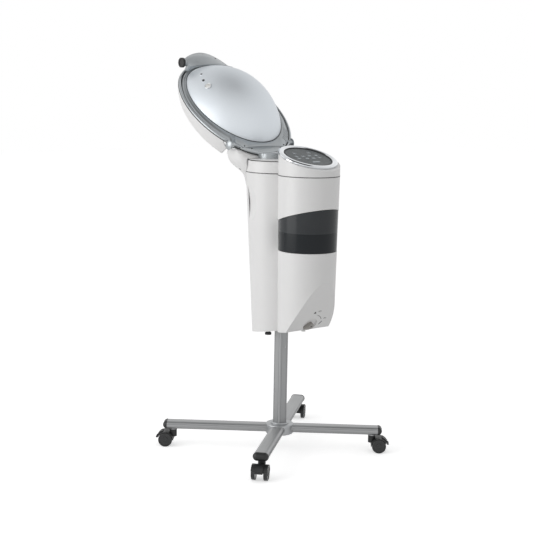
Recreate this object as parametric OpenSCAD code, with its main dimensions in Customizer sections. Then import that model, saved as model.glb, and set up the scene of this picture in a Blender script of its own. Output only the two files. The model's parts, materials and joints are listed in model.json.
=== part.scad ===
/* [Base] */
// Height of the leg centre line above the floor
leg_z = 75; // [60:1:95]
// Length of the two long legs under the hood, post axis to metal end
leg_long = 385; // [300:5:450]
// Length of the two short legs on the operator side
leg_short = 335; // [280:5:420]
// Angle between each leg and the fore-and-aft line
leg_angle = 48.9; // [35:0.5:60]
// Width of the oval leg tube
leg_w = 50; // [40:1:60]
// Height of the oval leg tube
leg_h = 26; // [20:1:32]
// Radius of the moulded hub
hub_r = 47.5; // [40:0.5:60]

/* [Casters] */
// Wheel diameter
wheel_d = 48; // [40:1:60]
// Distance from swivel axis to wheel axis
trail = 25; // [18:1:32]
// Width over both wheels
caster_w = 54; // [44:1:60]

/* [Post] */
// Side of the square post
post_w = 35; // [28:1:45]
// Height of the post top above the floor
post_top = 890; // [800:10:900]

/* [Body] */
// Height of the parting line between casing and top cap
seam_z = 945; // [930:1:960]
// Radius of both lobes at the top of the body
lobe_r = 100; // [90:1:110]
// Distance of the front lobe centre ahead of the post
front_y = 126; // [115:1:135]
// Distance of the rear lobe centre behind the post
rear_y = 46; // [35:1:55]
// Radius of the front lobe at its foot
front_foot_r = 91.5; // [85:0.5:100]
// Radius of the rear lobe at its foot
rear_foot_r = 82; // [72:1:95]
// Wall thickness of the mouldings
wall = 3; // [2.5:0.5:4]
// Height of the sill of the tank window
sill_z = 702; // [690:1:715]
// Height of the window head at the post axis, before its slope
head_z = 779; // [770:1:790]
// Rise of the window head per unit of depth
head_slope = 0.29; // [0.2:0.01:0.35]
// Height of the split between tank and lid
split_z = 765; // [750:1:780]

/* [Control panel] */
// Radius of the bright ring round the panel
bezel_r = 98; // [90:1:100]
// Tilt of the panel towards the operator
panel_tilt = 17.6; // [10:0.2:25]
// Height of the panel centre
panel_z = 1007; // [995:1:1020]

/* [Hood] */
// Half width of the hood ring
ring_a = 191.5; // [180:0.5:210]
// Half length of the hood ring
ring_b = 250; // [235:1:270]
// Tilt of the hood, front up
hood_tilt = 36.2; // [20:0.2:40]
// Distance of the ring centre behind the post
hood_y = 277.6; // [260:0.2:300]
// Height of the ring centre
hood_z = 1147; // [1100:1:1200]
// Half width of the silver dome
dome_a = 163.3; // [150:0.1:168]
// Half length of the silver dome
dome_b = 206.6; // [190:0.1:212]
// Height of the silver dome
dome_h = 108.8; // [90:0.1:130]
// Place of the hood pivot along the hood
pivot_d = -185; // [-200:1:-160]

/* [Hidden] */
$fn = 64;
base_deg = [90 - leg_angle, 90 + leg_angle, 270 - leg_angle, 270 + leg_angle];
leg_len = [leg_long, leg_long, leg_short, leg_short];
stem_in = 20;
hub_lo = leg_z - 18;
hub_hi = leg_z + 16;
post_foot = hub_lo + 4;
body_lo = 398;
rear_lean = atan(20 / 545);
nose_y = 360;
nose_z = 795;
nose_r = 610;
under_a = 9.4;
under_z = 417;
rear_plane_a = 3.86;
bay_y = -47;
panel_y = -120;
knob_a = 33.7;
knob_y = nose_y - nose_r * cos(knob_a);
knob_z = nose_z - nose_r * sin(knob_a);
pivot_n = -7;
visor_d = 213;
visor_n = 44;
dome_n0 = 7;
dome_d0 = 15.3;
dome_dip = -0.3;
dome_shift = -15.2;
dome_pow = 1.2;
duct_y = 86;
bush_gap = 0.1;
key_pos = [[-43, -8], [43, -8], [-13, -13], [13, -13], [-41, 9], [-13, 9], [13, 9], [41, 9], [-30, 36], [30, 36]];
key_own = [2, 3, 6, 7];

// Shared shapes
module oval(w, h) {
  square([w - h, h], center = true);
  for (s = [-1, 1]) translate([s * (w - h) / 2, 0]) circle(d = h);
}
module at_leg(i) { rotate([0, 0, base_deg[i]]) translate([0, 0, leg_z]) children(); }
module at_caster(i) { rotate([0, 0, base_deg[i]]) translate([leg_len[i] - stem_in, 0, 0]) children(); }
module leg_env(i, gap) {
  at_leg(i) translate([34 - gap, 0, 0]) rotate([90, 0, 90])
    linear_extrude(height = 60) oval(leg_w + 2 * gap, leg_h + 2 * gap);
}
module rounded_square(w, r) {
  square([w - 2 * r, w], center = true);
  square([w, w - 2 * r], center = true);
  for (x = [-1, 1], y = [-1, 1]) translate([x * (w / 2 - r), y * (w / 2 - r)]) circle(r = r);
}
function ell(a, b, cy, z, n) = [for (i = [0:n - 1]) [a * cos(360 * i / n), cy + b * sin(360 * i / n), z]];
// Closed skin through a list of equal loops, each counter-clockwise from above, with two end caps
module loft(rings) {
  n = len(rings[0]);
  m = len(rings);
  pts = [for (r = rings) for (p = r) p];
  side = [for (i = [0:m - 2]) for (j = [0:n - 1])
    [i * n + j, (i + 1) * n + j, (i + 1) * n + (j + 1) % n, i * n + (j + 1) % n]];
  polyhedron(points = pts, convexity = 6,
    faces = concat([[for (j = [0:n - 1]) j]], side, [[for (j = [n - 1:-1:0]) (m - 1) * n + j]]));
}
// Closed band: a list of sections that joins its last section to its first
module band(secs) {
  n = len(secs[0]);
  m = len(secs);
  pts = [for (r = secs) for (p = r) p];
  polyhedron(points = pts, convexity = 8,
    faces = [for (i = [0:m - 1]) for (j = [0:n - 1])
      [i * n + j, i * n + (j + 1) % n, ((i + 1) % m) * n + (j + 1) % n, ((i + 1) % m) * n + j]]);
}

// Base
module hub_half(lo, hi, round_top) {
  difference() {
    rotate_extrude($fn = 96) difference() {
      translate([0, lo]) square([hub_r, hi - lo]);
      translate([hub_r - 4, round_top ? hi - 4 : lo]) difference() {
        square([5, 4]);
        translate([0, round_top ? 0 : 4]) circle(r = 4);
      }
    }
    for (i = [0:3]) leg_env(i, 0.1);
  }
}
module base_hub_upper() {
  color("silver") difference() {
    union() {
      hub_half(leg_z + 0.05, hub_hi, true);
      translate([0, 0, hub_hi - 0.01]) rotate_extrude($fn = 96) difference() {
        square([31, 5]);
        translate([31, 5]) circle(r = 3);
      }
    }
    translate([0, 0, leg_z - 1]) linear_extrude(height = 40) rounded_square(post_w + 0.2, 4.1);
  }
}
module base_hub_lower() {
  color("silver") difference() {
    hub_half(hub_lo, leg_z - 0.05, false);
    translate([0, 0, post_foot]) linear_extrude(height = 40) rounded_square(post_w + 0.2, 4.1);
    translate([0, 0, hub_lo - 1]) cylinder(d = 9, h = 10);
    for (k = [0:3]) rotate([0, 0, 90 * k]) translate([36, 0, hub_lo - 1]) cylinder(d = 5, h = 12);
  }
}
module leg(i) {
  color("silver") at_leg(i) difference() {
    translate([34, 0, 0]) rotate([90, 0, 90]) linear_extrude(height = leg_len[i] - 34) difference() {
      oval(leg_w, leg_h);
      oval(leg_w - 4.4, leg_h - 4.4);
      for (s = [-1, 1]) translate([s * (leg_w / 2 - 1.2), 4.6]) square([2.4, 1.5], center = true);
    }
    translate([leg_len[i] - stem_in, 0, -leg_h]) cylinder(d = 11.1, h = leg_h);
  }
}
module leg_1() { leg(0); }
module leg_2() { leg(1); }
module leg_3() { leg(2); }
module leg_4() { leg(3); }
module leg_end_caps() {
  color("black") for (i = [0:3]) at_leg(i) translate([leg_len[i] + 0.05, 0, 0]) {
    difference() {
      union() {
        rotate([90, 0, 0]) cylinder(r = 14, h = 24, center = true);
        for (s = [-1, 1]) translate([0, 12 * s, 0]) sphere(r = 14);
      }
      translate([-20, 0, 0]) cube([40, 80, 40], center = true);
    }
    translate([-14, 0, 0]) rotate([90, 0, 90]) linear_extrude(height = 14.01) difference() {
      oval(leg_w - 4.6, leg_h - 4.6);
      oval(leg_w - 9, leg_h - 9);
    }
  }
}
module post() {
  color("silver") difference() {
    translate([0, 0, post_foot + 0.05]) linear_extrude(height = post_top - post_foot) difference() {
      rounded_square(post_w, 4);
      rounded_square(post_w - 5, 2);
      for (k = [0:3], s = [-1, 1]) rotate([0, 0, 90 * k])
        translate([post_w / 2, s * 10.5]) square([1.4, 1.2], center = true);
    }
    translate([3, -8, 358]) rotate([90, 0, 0]) cylinder(d = 4.1, h = 12);
  }
}
module post_stop_screw() {
  color("dimgray") translate([3, -post_w / 2, 358]) rotate([90, 0, 0]) {
    translate([0, 0, 0.02]) difference() {
      cylinder(d = 6.4, h = 1.2);
      translate([0, 0, 0.5]) cylinder(d = 2.6, h = 2);
    }
    translate([0, 0, -6]) cylinder(d = 4, h = 6.1);
  }
}

// Casters
module caster_stem(i) {
  color("silver") at_caster(i) difference() {
    union() {
      translate([0, 0, 38.5]) cylinder(d = 11, h = 44);
      translate([0, 0, 57.9]) cylinder(d = 20, h = leg_z - leg_h / 2 - 58);
      translate([0, 0, 57.9]) cylinder(d = 24, h = 1.6);
    }
    translate([0, 0, 77]) rotate_extrude() translate([4.6, 0]) square([2, 2]);
  }
}
module caster_fork(i) {
  w = caster_w;
  color("black") at_caster(i) difference() {
    union() {
      translate([0, 0, 33]) cylinder(d = 25, h = 24.7);
      translate([0, -11, 33]) cube([20, 22, 13]);
      translate([trail, 0, 24]) rotate([90, 0, 0]) cylinder(r = 27.4, h = w, center = true);
    }
    translate([0, 0, 30]) cylinder(d = 11.2, h = 40);
    difference() {
      translate([trail, 0, 24]) rotate([90, 0, 0]) cylinder(r = 25, h = w + 2, center = true);
      translate([trail, 0, 24]) rotate([90, 0, 0]) cylinder(r = 14, h = w / 2 - 3, center = true);
      translate([trail - 9, -w / 4 + 1.5, 24]) cube([18, w / 2 - 3, 40]);
      translate([0, 0, 33]) cylinder(d = 25, h = 20);
    }
    translate([trail - 50, -50, -60]) rotate([0, -12, 0]) cube([100, 100, 77]);
    translate([trail, 0, 24]) rotate([90, 0, 0]) cylinder(d = 6.2, h = 80, center = true);
    for (s = [-1, 1]) translate([trail, s * (w / 2 + 9.6), 24]) rotate([90, 0, 0])
      cylinder(r1 = s > 0 ? 22 : 40, r2 = s > 0 ? 40 : 22, h = 20, center = true);
  }
}
module caster_wheels(i) {
  w = caster_w;
  color("black") at_caster(i) translate([trail, 0, wheel_d / 2]) rotate([90, 0, 0]) {
    for (s = [-1, 1]) mirror([0, 0, s > 0 ? 0 : 1]) rotate_extrude($fn = 72) difference() {
      translate([3, w / 2 - 13]) square([wheel_d / 2 - 3, 12.6]);
      translate([wheel_d / 2 - 2, w / 2 - 2.4]) difference() {
        square([4, 4]);
        circle(r = 2);
      }
      translate([10, w / 2 - 2]) square([9.5, 3]);
      translate([3, w / 2 - 1]) square([4, 3]);
    }
    cylinder(d = 6, h = w - 1.4, center = true);
  }
}
module brake_lever(i) {
  color("dimgray") at_caster(i) translate([trail, 0, 24]) rotate([90, 0, 0])
    rotate([0, 0, 8]) {
      rotate_extrude(angle = 62, $fn = 96) {
        translate([27.7, -13]) square([2.8, 26]);
        for (s = [-1, 1]) translate([30.5, s * 12 - 1]) square([1, 2]);
      }
      rotate_extrude(angle = 9, $fn = 96) translate([27.7, -13]) square([6.5, 26]);
    }
}
module caster_stem_1() { caster_stem(0); }
module caster_stem_2() { caster_stem(1); }
module caster_stem_3() { caster_stem(2); }
module caster_stem_4() { caster_stem(3); }
module caster_fork_1() { caster_fork(0); }
module caster_fork_2() { caster_fork(1); }
module caster_fork_3() { caster_fork(2); }
module caster_fork_4() { caster_fork(3); }
module caster_wheels_1() { caster_wheels(0); }
module caster_wheels_2() { caster_wheels(1); }
module caster_wheels_3() { caster_wheels(2); }
module caster_wheels_4() { caster_wheels(3); }
module brake_lever_1() { brake_lever(0); }
module brake_lever_2() { brake_lever(1); }
module brake_lever_3() { brake_lever(2); }
module brake_lever_4() { brake_lever(3); }

// Body: two round lobes, tapering to the foot
module front_lobe(t, top) {
  f = (top - body_lo) / (seam_z - body_lo);
  translate([0, -front_y, body_lo])
    cylinder(r1 = front_foot_r - t, r2 = front_foot_r + (lobe_r - front_foot_r) * f - t, h = top - body_lo, $fn = 128);
}
module rear_lobe(t, top) {
  intersection() {
    translate([0, rear_y, seam_z]) rotate([-rear_lean, 0, 0]) translate([0, 0, -560])
      cylinder(r1 = rear_foot_r - t, r2 = rear_foot_r + (lobe_r - rear_foot_r) * 580 / 560 - t, h = 580, $fn = 128);
    translate([-150, -200, 380]) cube([300, 500, top - 380]);
  }
}
module lobes(t, top) {
  front_lobe(t, top);
  rear_lobe(t, top);
}
module nose(t) {
  translate([0, nose_y, nose_z]) rotate([0, 90, 0]) cylinder(r = nose_r - t, h = 400, center = true, $fn = 256);
}
module above_under(d) {
  translate([0, 0, under_z + d]) rotate([-under_a, 0, 0]) translate([-200, -500, 0]) cube([400, 900, 700]);
}
module behind_seam(d) {
  translate([0, 76 + d, 885]) rotate([-rear_plane_a, 0, 0]) translate([-200, 0, -700]) cube([400, 300, 1000]);
}
module window_box(grow, back) {
  intersection() {
    translate([-200, -400, sill_z - grow]) cube([400, 400 + back, 300]);
    translate([0, 0, head_z + grow]) rotate([-atan(head_slope), 0, 0])
      translate([-220, -500, -400]) cube([440, 1000, 400]);
  }
}
module scoop_zone(grow) {
  for (s = [0, 1]) mirror([s, 0, 0]) intersection() {
    translate([-96.6, 21, 835]) rotate([0, 0, -11.9]) translate([-268, 0, 0])
      rotate([90, 0, 0]) cylinder(r = 268 + grow, h = 260, center = true, $fn = 200);
    translate([-140, -20, 735]) cube([80, 140, 200]);
  }
}
module at_knob() { translate([0, knob_y, knob_z]) rotate([90 + knob_a, 0, 0]) children(); }
module drain_cuts() {
  at_knob() {
    translate([0, 0, -5]) cylinder(r = 27, h = 15);
    translate([0, 0, -30]) cylinder(d = 12.3, h = 40);
  }
  translate([0, knob_y + 33, 420]) cylinder(d = 14.2, h = 60);
}
module main_casing() {
  color("white") difference() {
    intersection() {
      lobes(0, seam_z);
      nose(0);
      above_under(4.05);
    }
    difference() {
      intersection() {
        lobes(wall, seam_z + 1);
        nose(wall);
      }
      // Sill, head and back wall of the tank bay
      difference() {
        window_box(wall, bay_y + wall);
        window_box(0, bay_y);
      }
      // Frame against the rear cover
      difference() {
        behind_seam(-wall);
        translate([-58, 0, 405]) cube([116, 200, 555]);
      }
      scoop_zone(wall);
      // Deck that carries the slide sleeve
      difference() {
        translate([-150, -60, 905]) cube([300, 300, 3]);
        translate([0, duct_y, 900]) cylinder(d = 54, h = 12);
        translate([0, 0, 900]) linear_extrude(height = 12) rounded_square(43.3, 4.1);
      }
      // Boss behind the drain knob
      at_knob() translate([0, 0, -16]) cylinder(r = 30, h = 20);
    }
    behind_seam(0);
    window_box(0, bay_y);
    scoop_zone(0);
    translate([0, bay_y - 1, sill_z + 14]) rotate([-90, 0, 0]) cylinder(d = 15, h = 6);
    drain_cuts();
  }
}
module rear_cover() {
  color("white") difference() {
    intersection() {
      rear_lobe(0, seam_z);
      behind_seam(0.15);
      above_under(4.05);
    }
    rear_lobe(wall, seam_z + 1);
    for (k = [0:8]) translate([-24, 60, 560 + 9 * k]) cube([48, 100, 3.4]);
  }
}
module bottom_cover() {
  color("white") difference() {
    intersection() {
      lobes(0, 520);
      nose(0);
      above_under(0);
      translate([0, 0, under_z + 3.95]) rotate([-under_a, 0, 0]) translate([-200, -500, -60]) cube([400, 900, 60]);
    }
    translate([0, 0, 380]) linear_extrude(height = 90) rounded_square(43.3, 4.1);
    for (p = [[-52, 6], [52, 6]]) translate([p[0], p[1], 380]) cylinder(d = 16.2, h = 70);
    for (k = [-2:2]) translate([14 * k - 3, -110, 380]) cube([6, 34, 90]);
    at_knob() translate([0, 0, -12]) cylinder(r = 27, h = 50);
    translate([0, knob_y + 33, 420]) cylinder(d = 14.2, h = 40);
  }
}
module slide_sleeve() {
  color("dimgray") difference() {
    translate([0, 0, 420]) linear_extrude(height = 500) difference() {
      rounded_square(43, 4);
      rounded_square(39, 3);
    }
  }
}
module slide_bushes() {
  color("black") for (z = [412, 740]) translate([0, 0, z]) difference() {
    linear_extrude(height = 26) rounded_square(38.9, 3);
    translate([0, 0, -1]) linear_extrude(height = 28) rounded_square(post_w + 2 * bush_gap, 4);
  }
}
module top_cap() {
  color("white") difference() {
    union() {
      translate([0, -front_y, seam_z + 0.05]) cylinder(r = lobe_r - 1.3, h = 2, $fn = 128);
      translate([0, rear_y, seam_z + 0.05]) cylinder(r = lobe_r - 1.3, h = 2, $fn = 128);
      intersection() {
        translate([0, -front_y, seam_z + 1.35]) cylinder(r = lobe_r, h = 120, $fn = 128);
        at_panel() translate([-200, -200, -107]) cube([400, 400, 100]);
      }
      translate([0, rear_y, seam_z + 1.35]) cylinder(r1 = lobe_r, r2 = lobe_r - 3, h = 28.65, $fn = 128);
      translate([0, rear_y, seam_z + 30]) rotate_extrude($fn = 128) {
        square([lobe_r - 17, 14]);
        square([lobe_r - 3, 0.1]);
        intersection() {
          translate([lobe_r - 17, 0]) circle(r = 14);
          square([lobe_r, 14]);
        }
      }
    }
    difference() {
      union() {
        translate([0, -front_y, seam_z - 1]) cylinder(r = lobe_r - wall, h = 120, $fn = 128);
        translate([0, rear_y, seam_z - 1]) cylinder(r = lobe_r - wall - 3, h = 42, $fn = 128);
      }
      difference() {
        at_panel() translate([-200, -200, -10]) cube([400, 400, 60]);
        translate([-200, rear_y - 70, 0]) cube([400, 400, 984]);
      }
      difference() {
        translate([0, -front_y, seam_z - 2]) cylinder(r = lobe_r, h = 130, $fn = 128);
        translate([0, -front_y, seam_z - 3]) cylinder(r = lobe_r - wall, h = 132, $fn = 128);
        translate([-60, -60, seam_z - 3]) cube([120, 100, 41]);
      }
    }
    at_panel() translate([0, 0, -40]) cylinder(r = 72, h = 60);
    translate([0, duct_y, 940]) cylinder(d = 44.6, h = 80);
  }
}
module at_panel() { translate([0, panel_y, panel_z]) rotate([panel_tilt, 0, 0]) children(); }
module key_shape(w, h, e) {
  square([w - h, h + 2 * e], center = true);
  for (s = [-1, 1]) translate([s * (w - h) / 2, 0]) circle(d = h + 2 * e);
}
module panel_bezel() {
  color("silver") at_panel() rotate_extrude($fn = 128) difference() {
    union() {
      translate([80, -6.9]) square([bezel_r - 80, 4.9]);
      intersection() {
        translate([bezel_r - 9, -12]) circle(r = 14);
        translate([80, -2.01]) square([bezel_r - 80, 6]);
      }
    }
    translate([bezel_r - 2.5, -6.9]) square([4, 1.2]);
  }
}
module panel_plate() {
  color("dimgray") at_panel() difference() {
    translate([0, 0, -6.9]) cylinder(r = 79.8, h = 4.2, $fn = 128);
    translate([0, -44, -8]) linear_extrude(height = 8) key_shape(30, 8, 0.25);
    for (p = key_pos) translate([p[0], p[1], -8]) linear_extrude(height = 8) key_shape(11, 7, 0.25);
    translate([0, 0, -3.4]) rotate_extrude($fn = 128) translate([74.5, 0]) square([2, 2]);
  }
}
module key(p, w, h) {
  color("lightgray") at_panel() translate([p[0], p[1], 0]) {
    translate([0, 0, -7.8]) linear_extrude(height = 6) key_shape(w, h, 0);
    translate([0, 0, -9]) linear_extrude(height = 1.8) key_shape(w + 2, h + 2, 0);
  }
}
module start_key() { key([0, -44], 30, 8); }
module key_1() { key(key_pos[key_own[0]], 11, 7); }
module key_2() { key(key_pos[key_own[1]], 11, 7); }
module key_3() { key(key_pos[key_own[2]], 11, 7); }
module key_4() { key(key_pos[key_own[3]], 11, 7); }
module control_board() {
  color("green") at_panel() {
    difference() {
      translate([-56, -50, -14]) cube([112, 100, 1.6]);
      for (x = [-50, 50], y = [-44, 44]) translate([x, y, -15]) cylinder(d = 2.6, h = 5);
    }
    for (x = [-50, 50], y = [-44, 44]) translate([x, y, -12.45]) difference() {
      cylinder(d = 7, h = 5.5);
      translate([0, 0, -1]) cylinder(d = 2.6, h = 8);
    }
    for (k = [0:len(key_pos) - 1]) if (k < 2 || k == 4 || k == 5 || k > 7)
      translate([key_pos[k][0], key_pos[k][1], -12.45]) linear_extrude(height = 9.4) key_shape(10.6, 6.6, 0);
    for (p = [key_pos[2], key_pos[3], key_pos[6], key_pos[7], [0, -44]])
      translate([p[0] - 2.5, p[1] - 2.5, -12.45]) cube([5, 5, 2.4]);
    translate([-30, 20, -17]) cube([26, 20, 3.05]);
    translate([14, 22, -18]) cube([14, 10, 4.05]);
  }
}
module power_inlet() {
  color("black") translate([-52, 6, 0]) difference() {
    union() {
      translate([0, 0, 404]) cylinder(d = 16, h = 40);
      translate([0, 0, 404]) cylinder(d = 22, h = 6.5);
      translate([0, 0, 424]) cylinder(d = 22, h = 5);
    }
    translate([0, 0, 400]) cylinder(d = 11, h = 30);
    for (k = [0:11]) rotate([0, 0, 30 * k]) translate([11, 0, 402]) cylinder(d = 2, h = 12);
  }
  color("black") translate([52, 6, 0]) difference() {
    union() {
      translate([0, 0, 406]) cylinder(d = 16, h = 32);
      translate([0, 0, 406]) cylinder(d = 20, h = 4.5);
    }
    translate([0, 0, 404]) cylinder(d = 6, h = 10);
    translate([-8, -1, 405]) cube([16, 2, 3]);
  }
}
module mist_chamber() {
  color("gainsboro") difference() {
    intersection() {
      union() {
        translate([0, duct_y - 12, 395]) cylinder(r = 32, h = 125);
        translate([0, duct_y - 12, 512]) cylinder(r = 35, h = 8);
      }
      above_under(4.1);
    }
    translate([0, duct_y - 12, 424]) cylinder(r = 29, h = 93);
    translate([0, duct_y, 500]) cylinder(d = 44.4, h = 30);
    for (x = [-12, 12]) translate([x, duct_y - 12, 414]) cylinder(d = 20.3, h = 14);
  }
}
module transducers() {
  color("goldenrod") for (x = [-12, 12]) translate([x, duct_y - 12, 414.1]) {
    difference() {
      cylinder(d = 20, h = 11);
      translate([0, 0, 8]) cylinder(d = 16, h = 4);
    }
    translate([0, 0, 7.9]) cylinder(d = 12, h = 1.5);
  }
}
module mist_duct() {
  color("gainsboro") translate([0, duct_y, 520.1]) difference() {
    union() {
      cylinder(d = 44, h = 472);
      cylinder(d = 56, h = 3);
      translate([0, 0, 384.9 - 3]) cylinder(d = 53.7, h = 8);
    }
    translate([0, 0, -1]) cylinder(d = 40, h = 500);
  }
}
module blower_casing() {
  color("dimgray") {
  difference() {
    union() {
      translate([0, -96, 520]) cylinder(r = 50, h = 36);
      translate([0, -96, 554]) cylinder(r = 54, h = 3);
      for (x = [-40, 40], y = [-118, -72]) intersection() {
        translate([x, y, 420]) cylinder(d = 9, h = 102);
        above_under(4.1);
      }
      translate([30.5, -70, 538]) rotate([-90, 0, 0]) cylinder(d = 14, h = duct_y + 70);
      translate([30.5, duct_y, 538]) rotate([0, -90, 0]) cylinder(d = 13.9, h = 8);
      translate([30.5, duct_y, 538]) sphere(d = 14);
    }
    translate([0, -96, 523]) cylinder(r = 46, h = 31);
    translate([0, -96, 550]) cylinder(r = 22, h = 10);
    translate([30.5, -72, 538]) rotate([-90, 0, 0]) cylinder(d = 11, h = duct_y + 72);
    translate([0, duct_y, 500]) cylinder(d = 44.5, h = 80);
  }
  translate([0, -96, 521.5]) cylinder(d = 6, h = 26);
  translate([0, -96, 521.5]) cylinder(d = 14, h = 2.3);
  }
}
module impeller() {
  color("silver") translate([0, -96, 523.85]) difference() {
    union() {
      cylinder(r = 42, h = 2);
      cylinder(r = 11, h = 24);
      for (k = [0:17]) rotate([0, 0, 20 * k]) translate([30, 0, 1]) rotate([0, 0, 35]) translate([0, -1, 0])
        cube([13, 1.6, 24]);
    }
    translate([0, 0, -1]) cylinder(d = 6.1, h = 40);
  }
}
module power_supply() {
  color("silver") difference() {
    union() {
      translate([-46, -168, 632]) cube([92, 96, 2]);
      translate([-46, -168, 632]) cube([92, 2, sill_z - wall - 632.1]);
      translate([-46, -74, 632]) cube([92, 2, sill_z - wall - 632.1]);
      translate([-38, -158, 633.9]) cube([30, 40, 34]);
      translate([0, -150, 633.9]) cube([36, 26, 22]);
      for (x = [-26, -8, 10, 28]) translate([x, -96, 633.9]) cylinder(d = 14, h = 30);
    }
    for (k = [-3:3]) translate([10 * k - 2, -170, 645]) cube([4, 6, 36]);
  }
}
module drain_valve() {
  color("gainsboro") difference() {
    union() {
      at_knob() translate([0, 0, -44]) cylinder(d = 26, h = 27.9);
      at_knob() translate([0, 0, -20]) cylinder(d = 12.1, h = 14.9);
      translate([0, knob_y + 33, 430]) cylinder(d = 14, h = 47);
    }
    translate([0, knob_y + 33, 429]) cylinder(d = 10, h = 33);
    at_knob() translate([0, 0, -14]) cylinder(d = 6.2, h = 12);
  }
}
module drain_knob() {
  color("gainsboro") at_knob() difference() {
    union() {
      translate([0, 0, -4.8]) cylinder(r = 10.5, h = 9);
      intersection() {
        translate([0, 0, -4.8]) linear_extrude(height = 12.5) rotate([0, 0, 225]) {
          translate([0, -9]) square([24, 18]);
          circle(r = 10.5);
        }
        translate([0, 0, -20]) sphere(r = 30);
      }
      translate([0, 0, -13.5]) cylinder(d = 6, h = 9);
    }
    translate([0, 0, 6]) cylinder(d = 6.2, h = 6);
  }
}
module tank_skin(t) {
  intersection() {
    front_lobe(0.6 + t, 900);
    window_box(-1.5 - t, bay_y - 1.5 - t);
  }
}
module water_tank() {
  color("dimgray", 0.6) {
    difference() {
      intersection() {
        tank_skin(0);
        translate([-150, -300, 600]) cube([300, 300, split_z - 600]);
      }
      tank_skin(2.6);
      translate([0, bay_y - 6, sill_z + 14]) rotate([-90, 0, 0]) cylinder(d = 9, h = 12);
    }
    translate([0, bay_y - 3, sill_z + 14]) rotate([-90, 0, 0]) difference() {
      cylinder(d = 14, h = 8);
      translate([0, 0, -1]) cylinder(d = 9, h = 12);
    }
  }
}
module tank_lid() {
  color("gray", 0.6) difference() {
    intersection() {
      tank_skin(0);
      translate([-150, -300, split_z + 0.1]) cube([300, 300, 200]);
    }
    tank_skin(2.6);
  }
}

// Hood: drawn flat with its length along Y, then tilted about its own centre
module at_hood() { translate([0, hood_y, hood_z]) rotate([hood_tilt, 0, 0]) children(); }
hn = 72;
function dome_n(d) = dome_n0 - tan(dome_dip) * (d - dome_d0);
function rim_e(k, a) = [(ring_a + k) * cos(a), (ring_b + k) * sin(a)];
function lip_e(k, a) = [(dome_a + k) * cos(a), dome_d0 + (dome_b + k) * sin(a)];
function pt(e, n) = [e[0], e[1], n];
function ring_sec(a) = let (u = lip_e(0, a), b = dome_n(u[1])) [
  pt(lip_e(-7, a), b - 4.2),
  pt(rim_e(-9, a), -5),
  pt(rim_e(-1, a), -5),
  pt(rim_e(0, a), -3.4),
  pt(rim_e(0, a), 0.5),
  pt(rim_e(-3, a), 3.6),
  pt(rim_e(-7, a), 3.6),
  pt(rim_e(-8, a), -0.5),
  pt(rim_e(-10.5, a), -0.5),
  pt(rim_e(-11.5, a), 2.6),
  pt(lip_e(5, a), b + 2.2),
  pt(lip_e(1.5, a), b - 0.2),
  pt(lip_e(-7, a), b - 0.2)];
module ring_band() { band([for (i = [0:hn - 1]) ring_sec(360 * i / hn)]); }
module ring_back(d) { translate([-300, -400, -100]) cube([600, 400 + d, 200]); }
module at_pivot() { translate([0, pivot_d, pivot_n]) rotate([0, 90, 0]) children(); }
module hood_ring() {
  color("silver") at_hood() difference() {
    union() {
      difference() {
        ring_band();
        ring_back(pivot_d - 26.4);
      }
      for (s = [-1, 1]) at_pivot() translate([0, 0, s * 123.5]) cylinder(r = 12, h = 20, center = true);
      translate([-90.5, visor_d, visor_n - 10]) {
        rotate([0, 90, 0]) cylinder(r = 5.4, h = 7, center = true);
        translate([-3.5, -5.5, -36]) cube([7, 9, 36]);
      }
      translate([86.5, 208.6, -3]) cylinder(r = 2.6, h = 13.5);
    }
    at_pivot() cylinder(d = 8.2, h = 400, center = true);
    for (s = [-1, 1]) at_pivot() translate([0, 0, s * 148.5]) cylinder(r = 17.3, h = 30, center = true);
    for (s = [-1, 1]) translate([s * 106, pivot_d, pivot_n]) {
      rotate([0, 90, 0]) cylinder(r = 9.5, h = 13.4, center = true);
      translate([-6.7, -60, -40]) cube([13.4, 69.5, 40]);
      translate([-6.7, -60, -9.5]) cube([13.4, 60, 19]);
    }
    translate([0, visor_d, visor_n - 10]) rotate([0, 90, 0]) cylinder(d = 6.2, h = 300, center = true);
    for (k = [0:6]) translate(pt(rim_e(-24, -34 - 3 * k), -2))
      rotate([0, 0, -34 - 3 * k - 20]) translate([-11, -1, -1]) cube([22, 2.2, 12]);
  }
}
module rim_block(k, lo, hi) {
  translate([0, 0, lo]) linear_extrude(hi - lo) polygon([for (i = [0:71]) rim_e(k, 5 * i)]);
}
module yoke() {
  color("gray") difference() {
    union() {
      at_hood() intersection() {
        union() {
          ring_band();
          rim_block(-12, -15.5, 1);
        }
        ring_back(pivot_d - 28.2);
      }
      at_hood() intersection() {
        union() {
          for (s = [-1, 1]) translate([s * 106, pivot_d, pivot_n]) {
            rotate([0, 90, 0]) cylinder(r = 8.5, h = 12, center = true);
            translate([-6, -62, -8.5]) cube([12, 62, 14]);
          }
          translate([-112, pivot_d - 32, -15.5]) cube([224, 21, 7]);
        }
        rim_block(-8.8, -60, 40);
      }
      translate([0, duct_y - 10, seam_z + 44.15]) cylinder(r = 46, h = 16, $fn = 96);
      difference() {
        translate([0, duct_y - 10, seam_z + 44.15]) cylinder(r = 46, h = 50, $fn = 96);
        at_hood() {
          translate([-200, -400, -2]) cube([400, 600, 200]);
          translate([-200, pivot_d - 28.2, -9]) cube([400, 400, 20]);
        }
      }
    }
    at_hood() at_pivot() cylinder(d = 8.2, h = 400, center = true);
    translate([-150, -100, seam_z - 100]) cube([300, 400, 144.15]);
    translate([0, duct_y, 960]) cylinder(d = 44.6, h = 41);
    translate([-20, duct_y, seam_z + 44]) cube([40, 80, 12]);
  }
}
function dome_s(h) = sqrt(1 - pow(h, dome_pow));
function dome_pt(h, a, t) = let (q = dome_shift * h + (dome_b - t) * dome_s(h) * sin(a))
  [(dome_a - t) * dome_s(h) * cos(a), dome_d0 + q, dome_n0 + (dome_h - t) * h - tan(dome_dip) * q];
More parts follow.
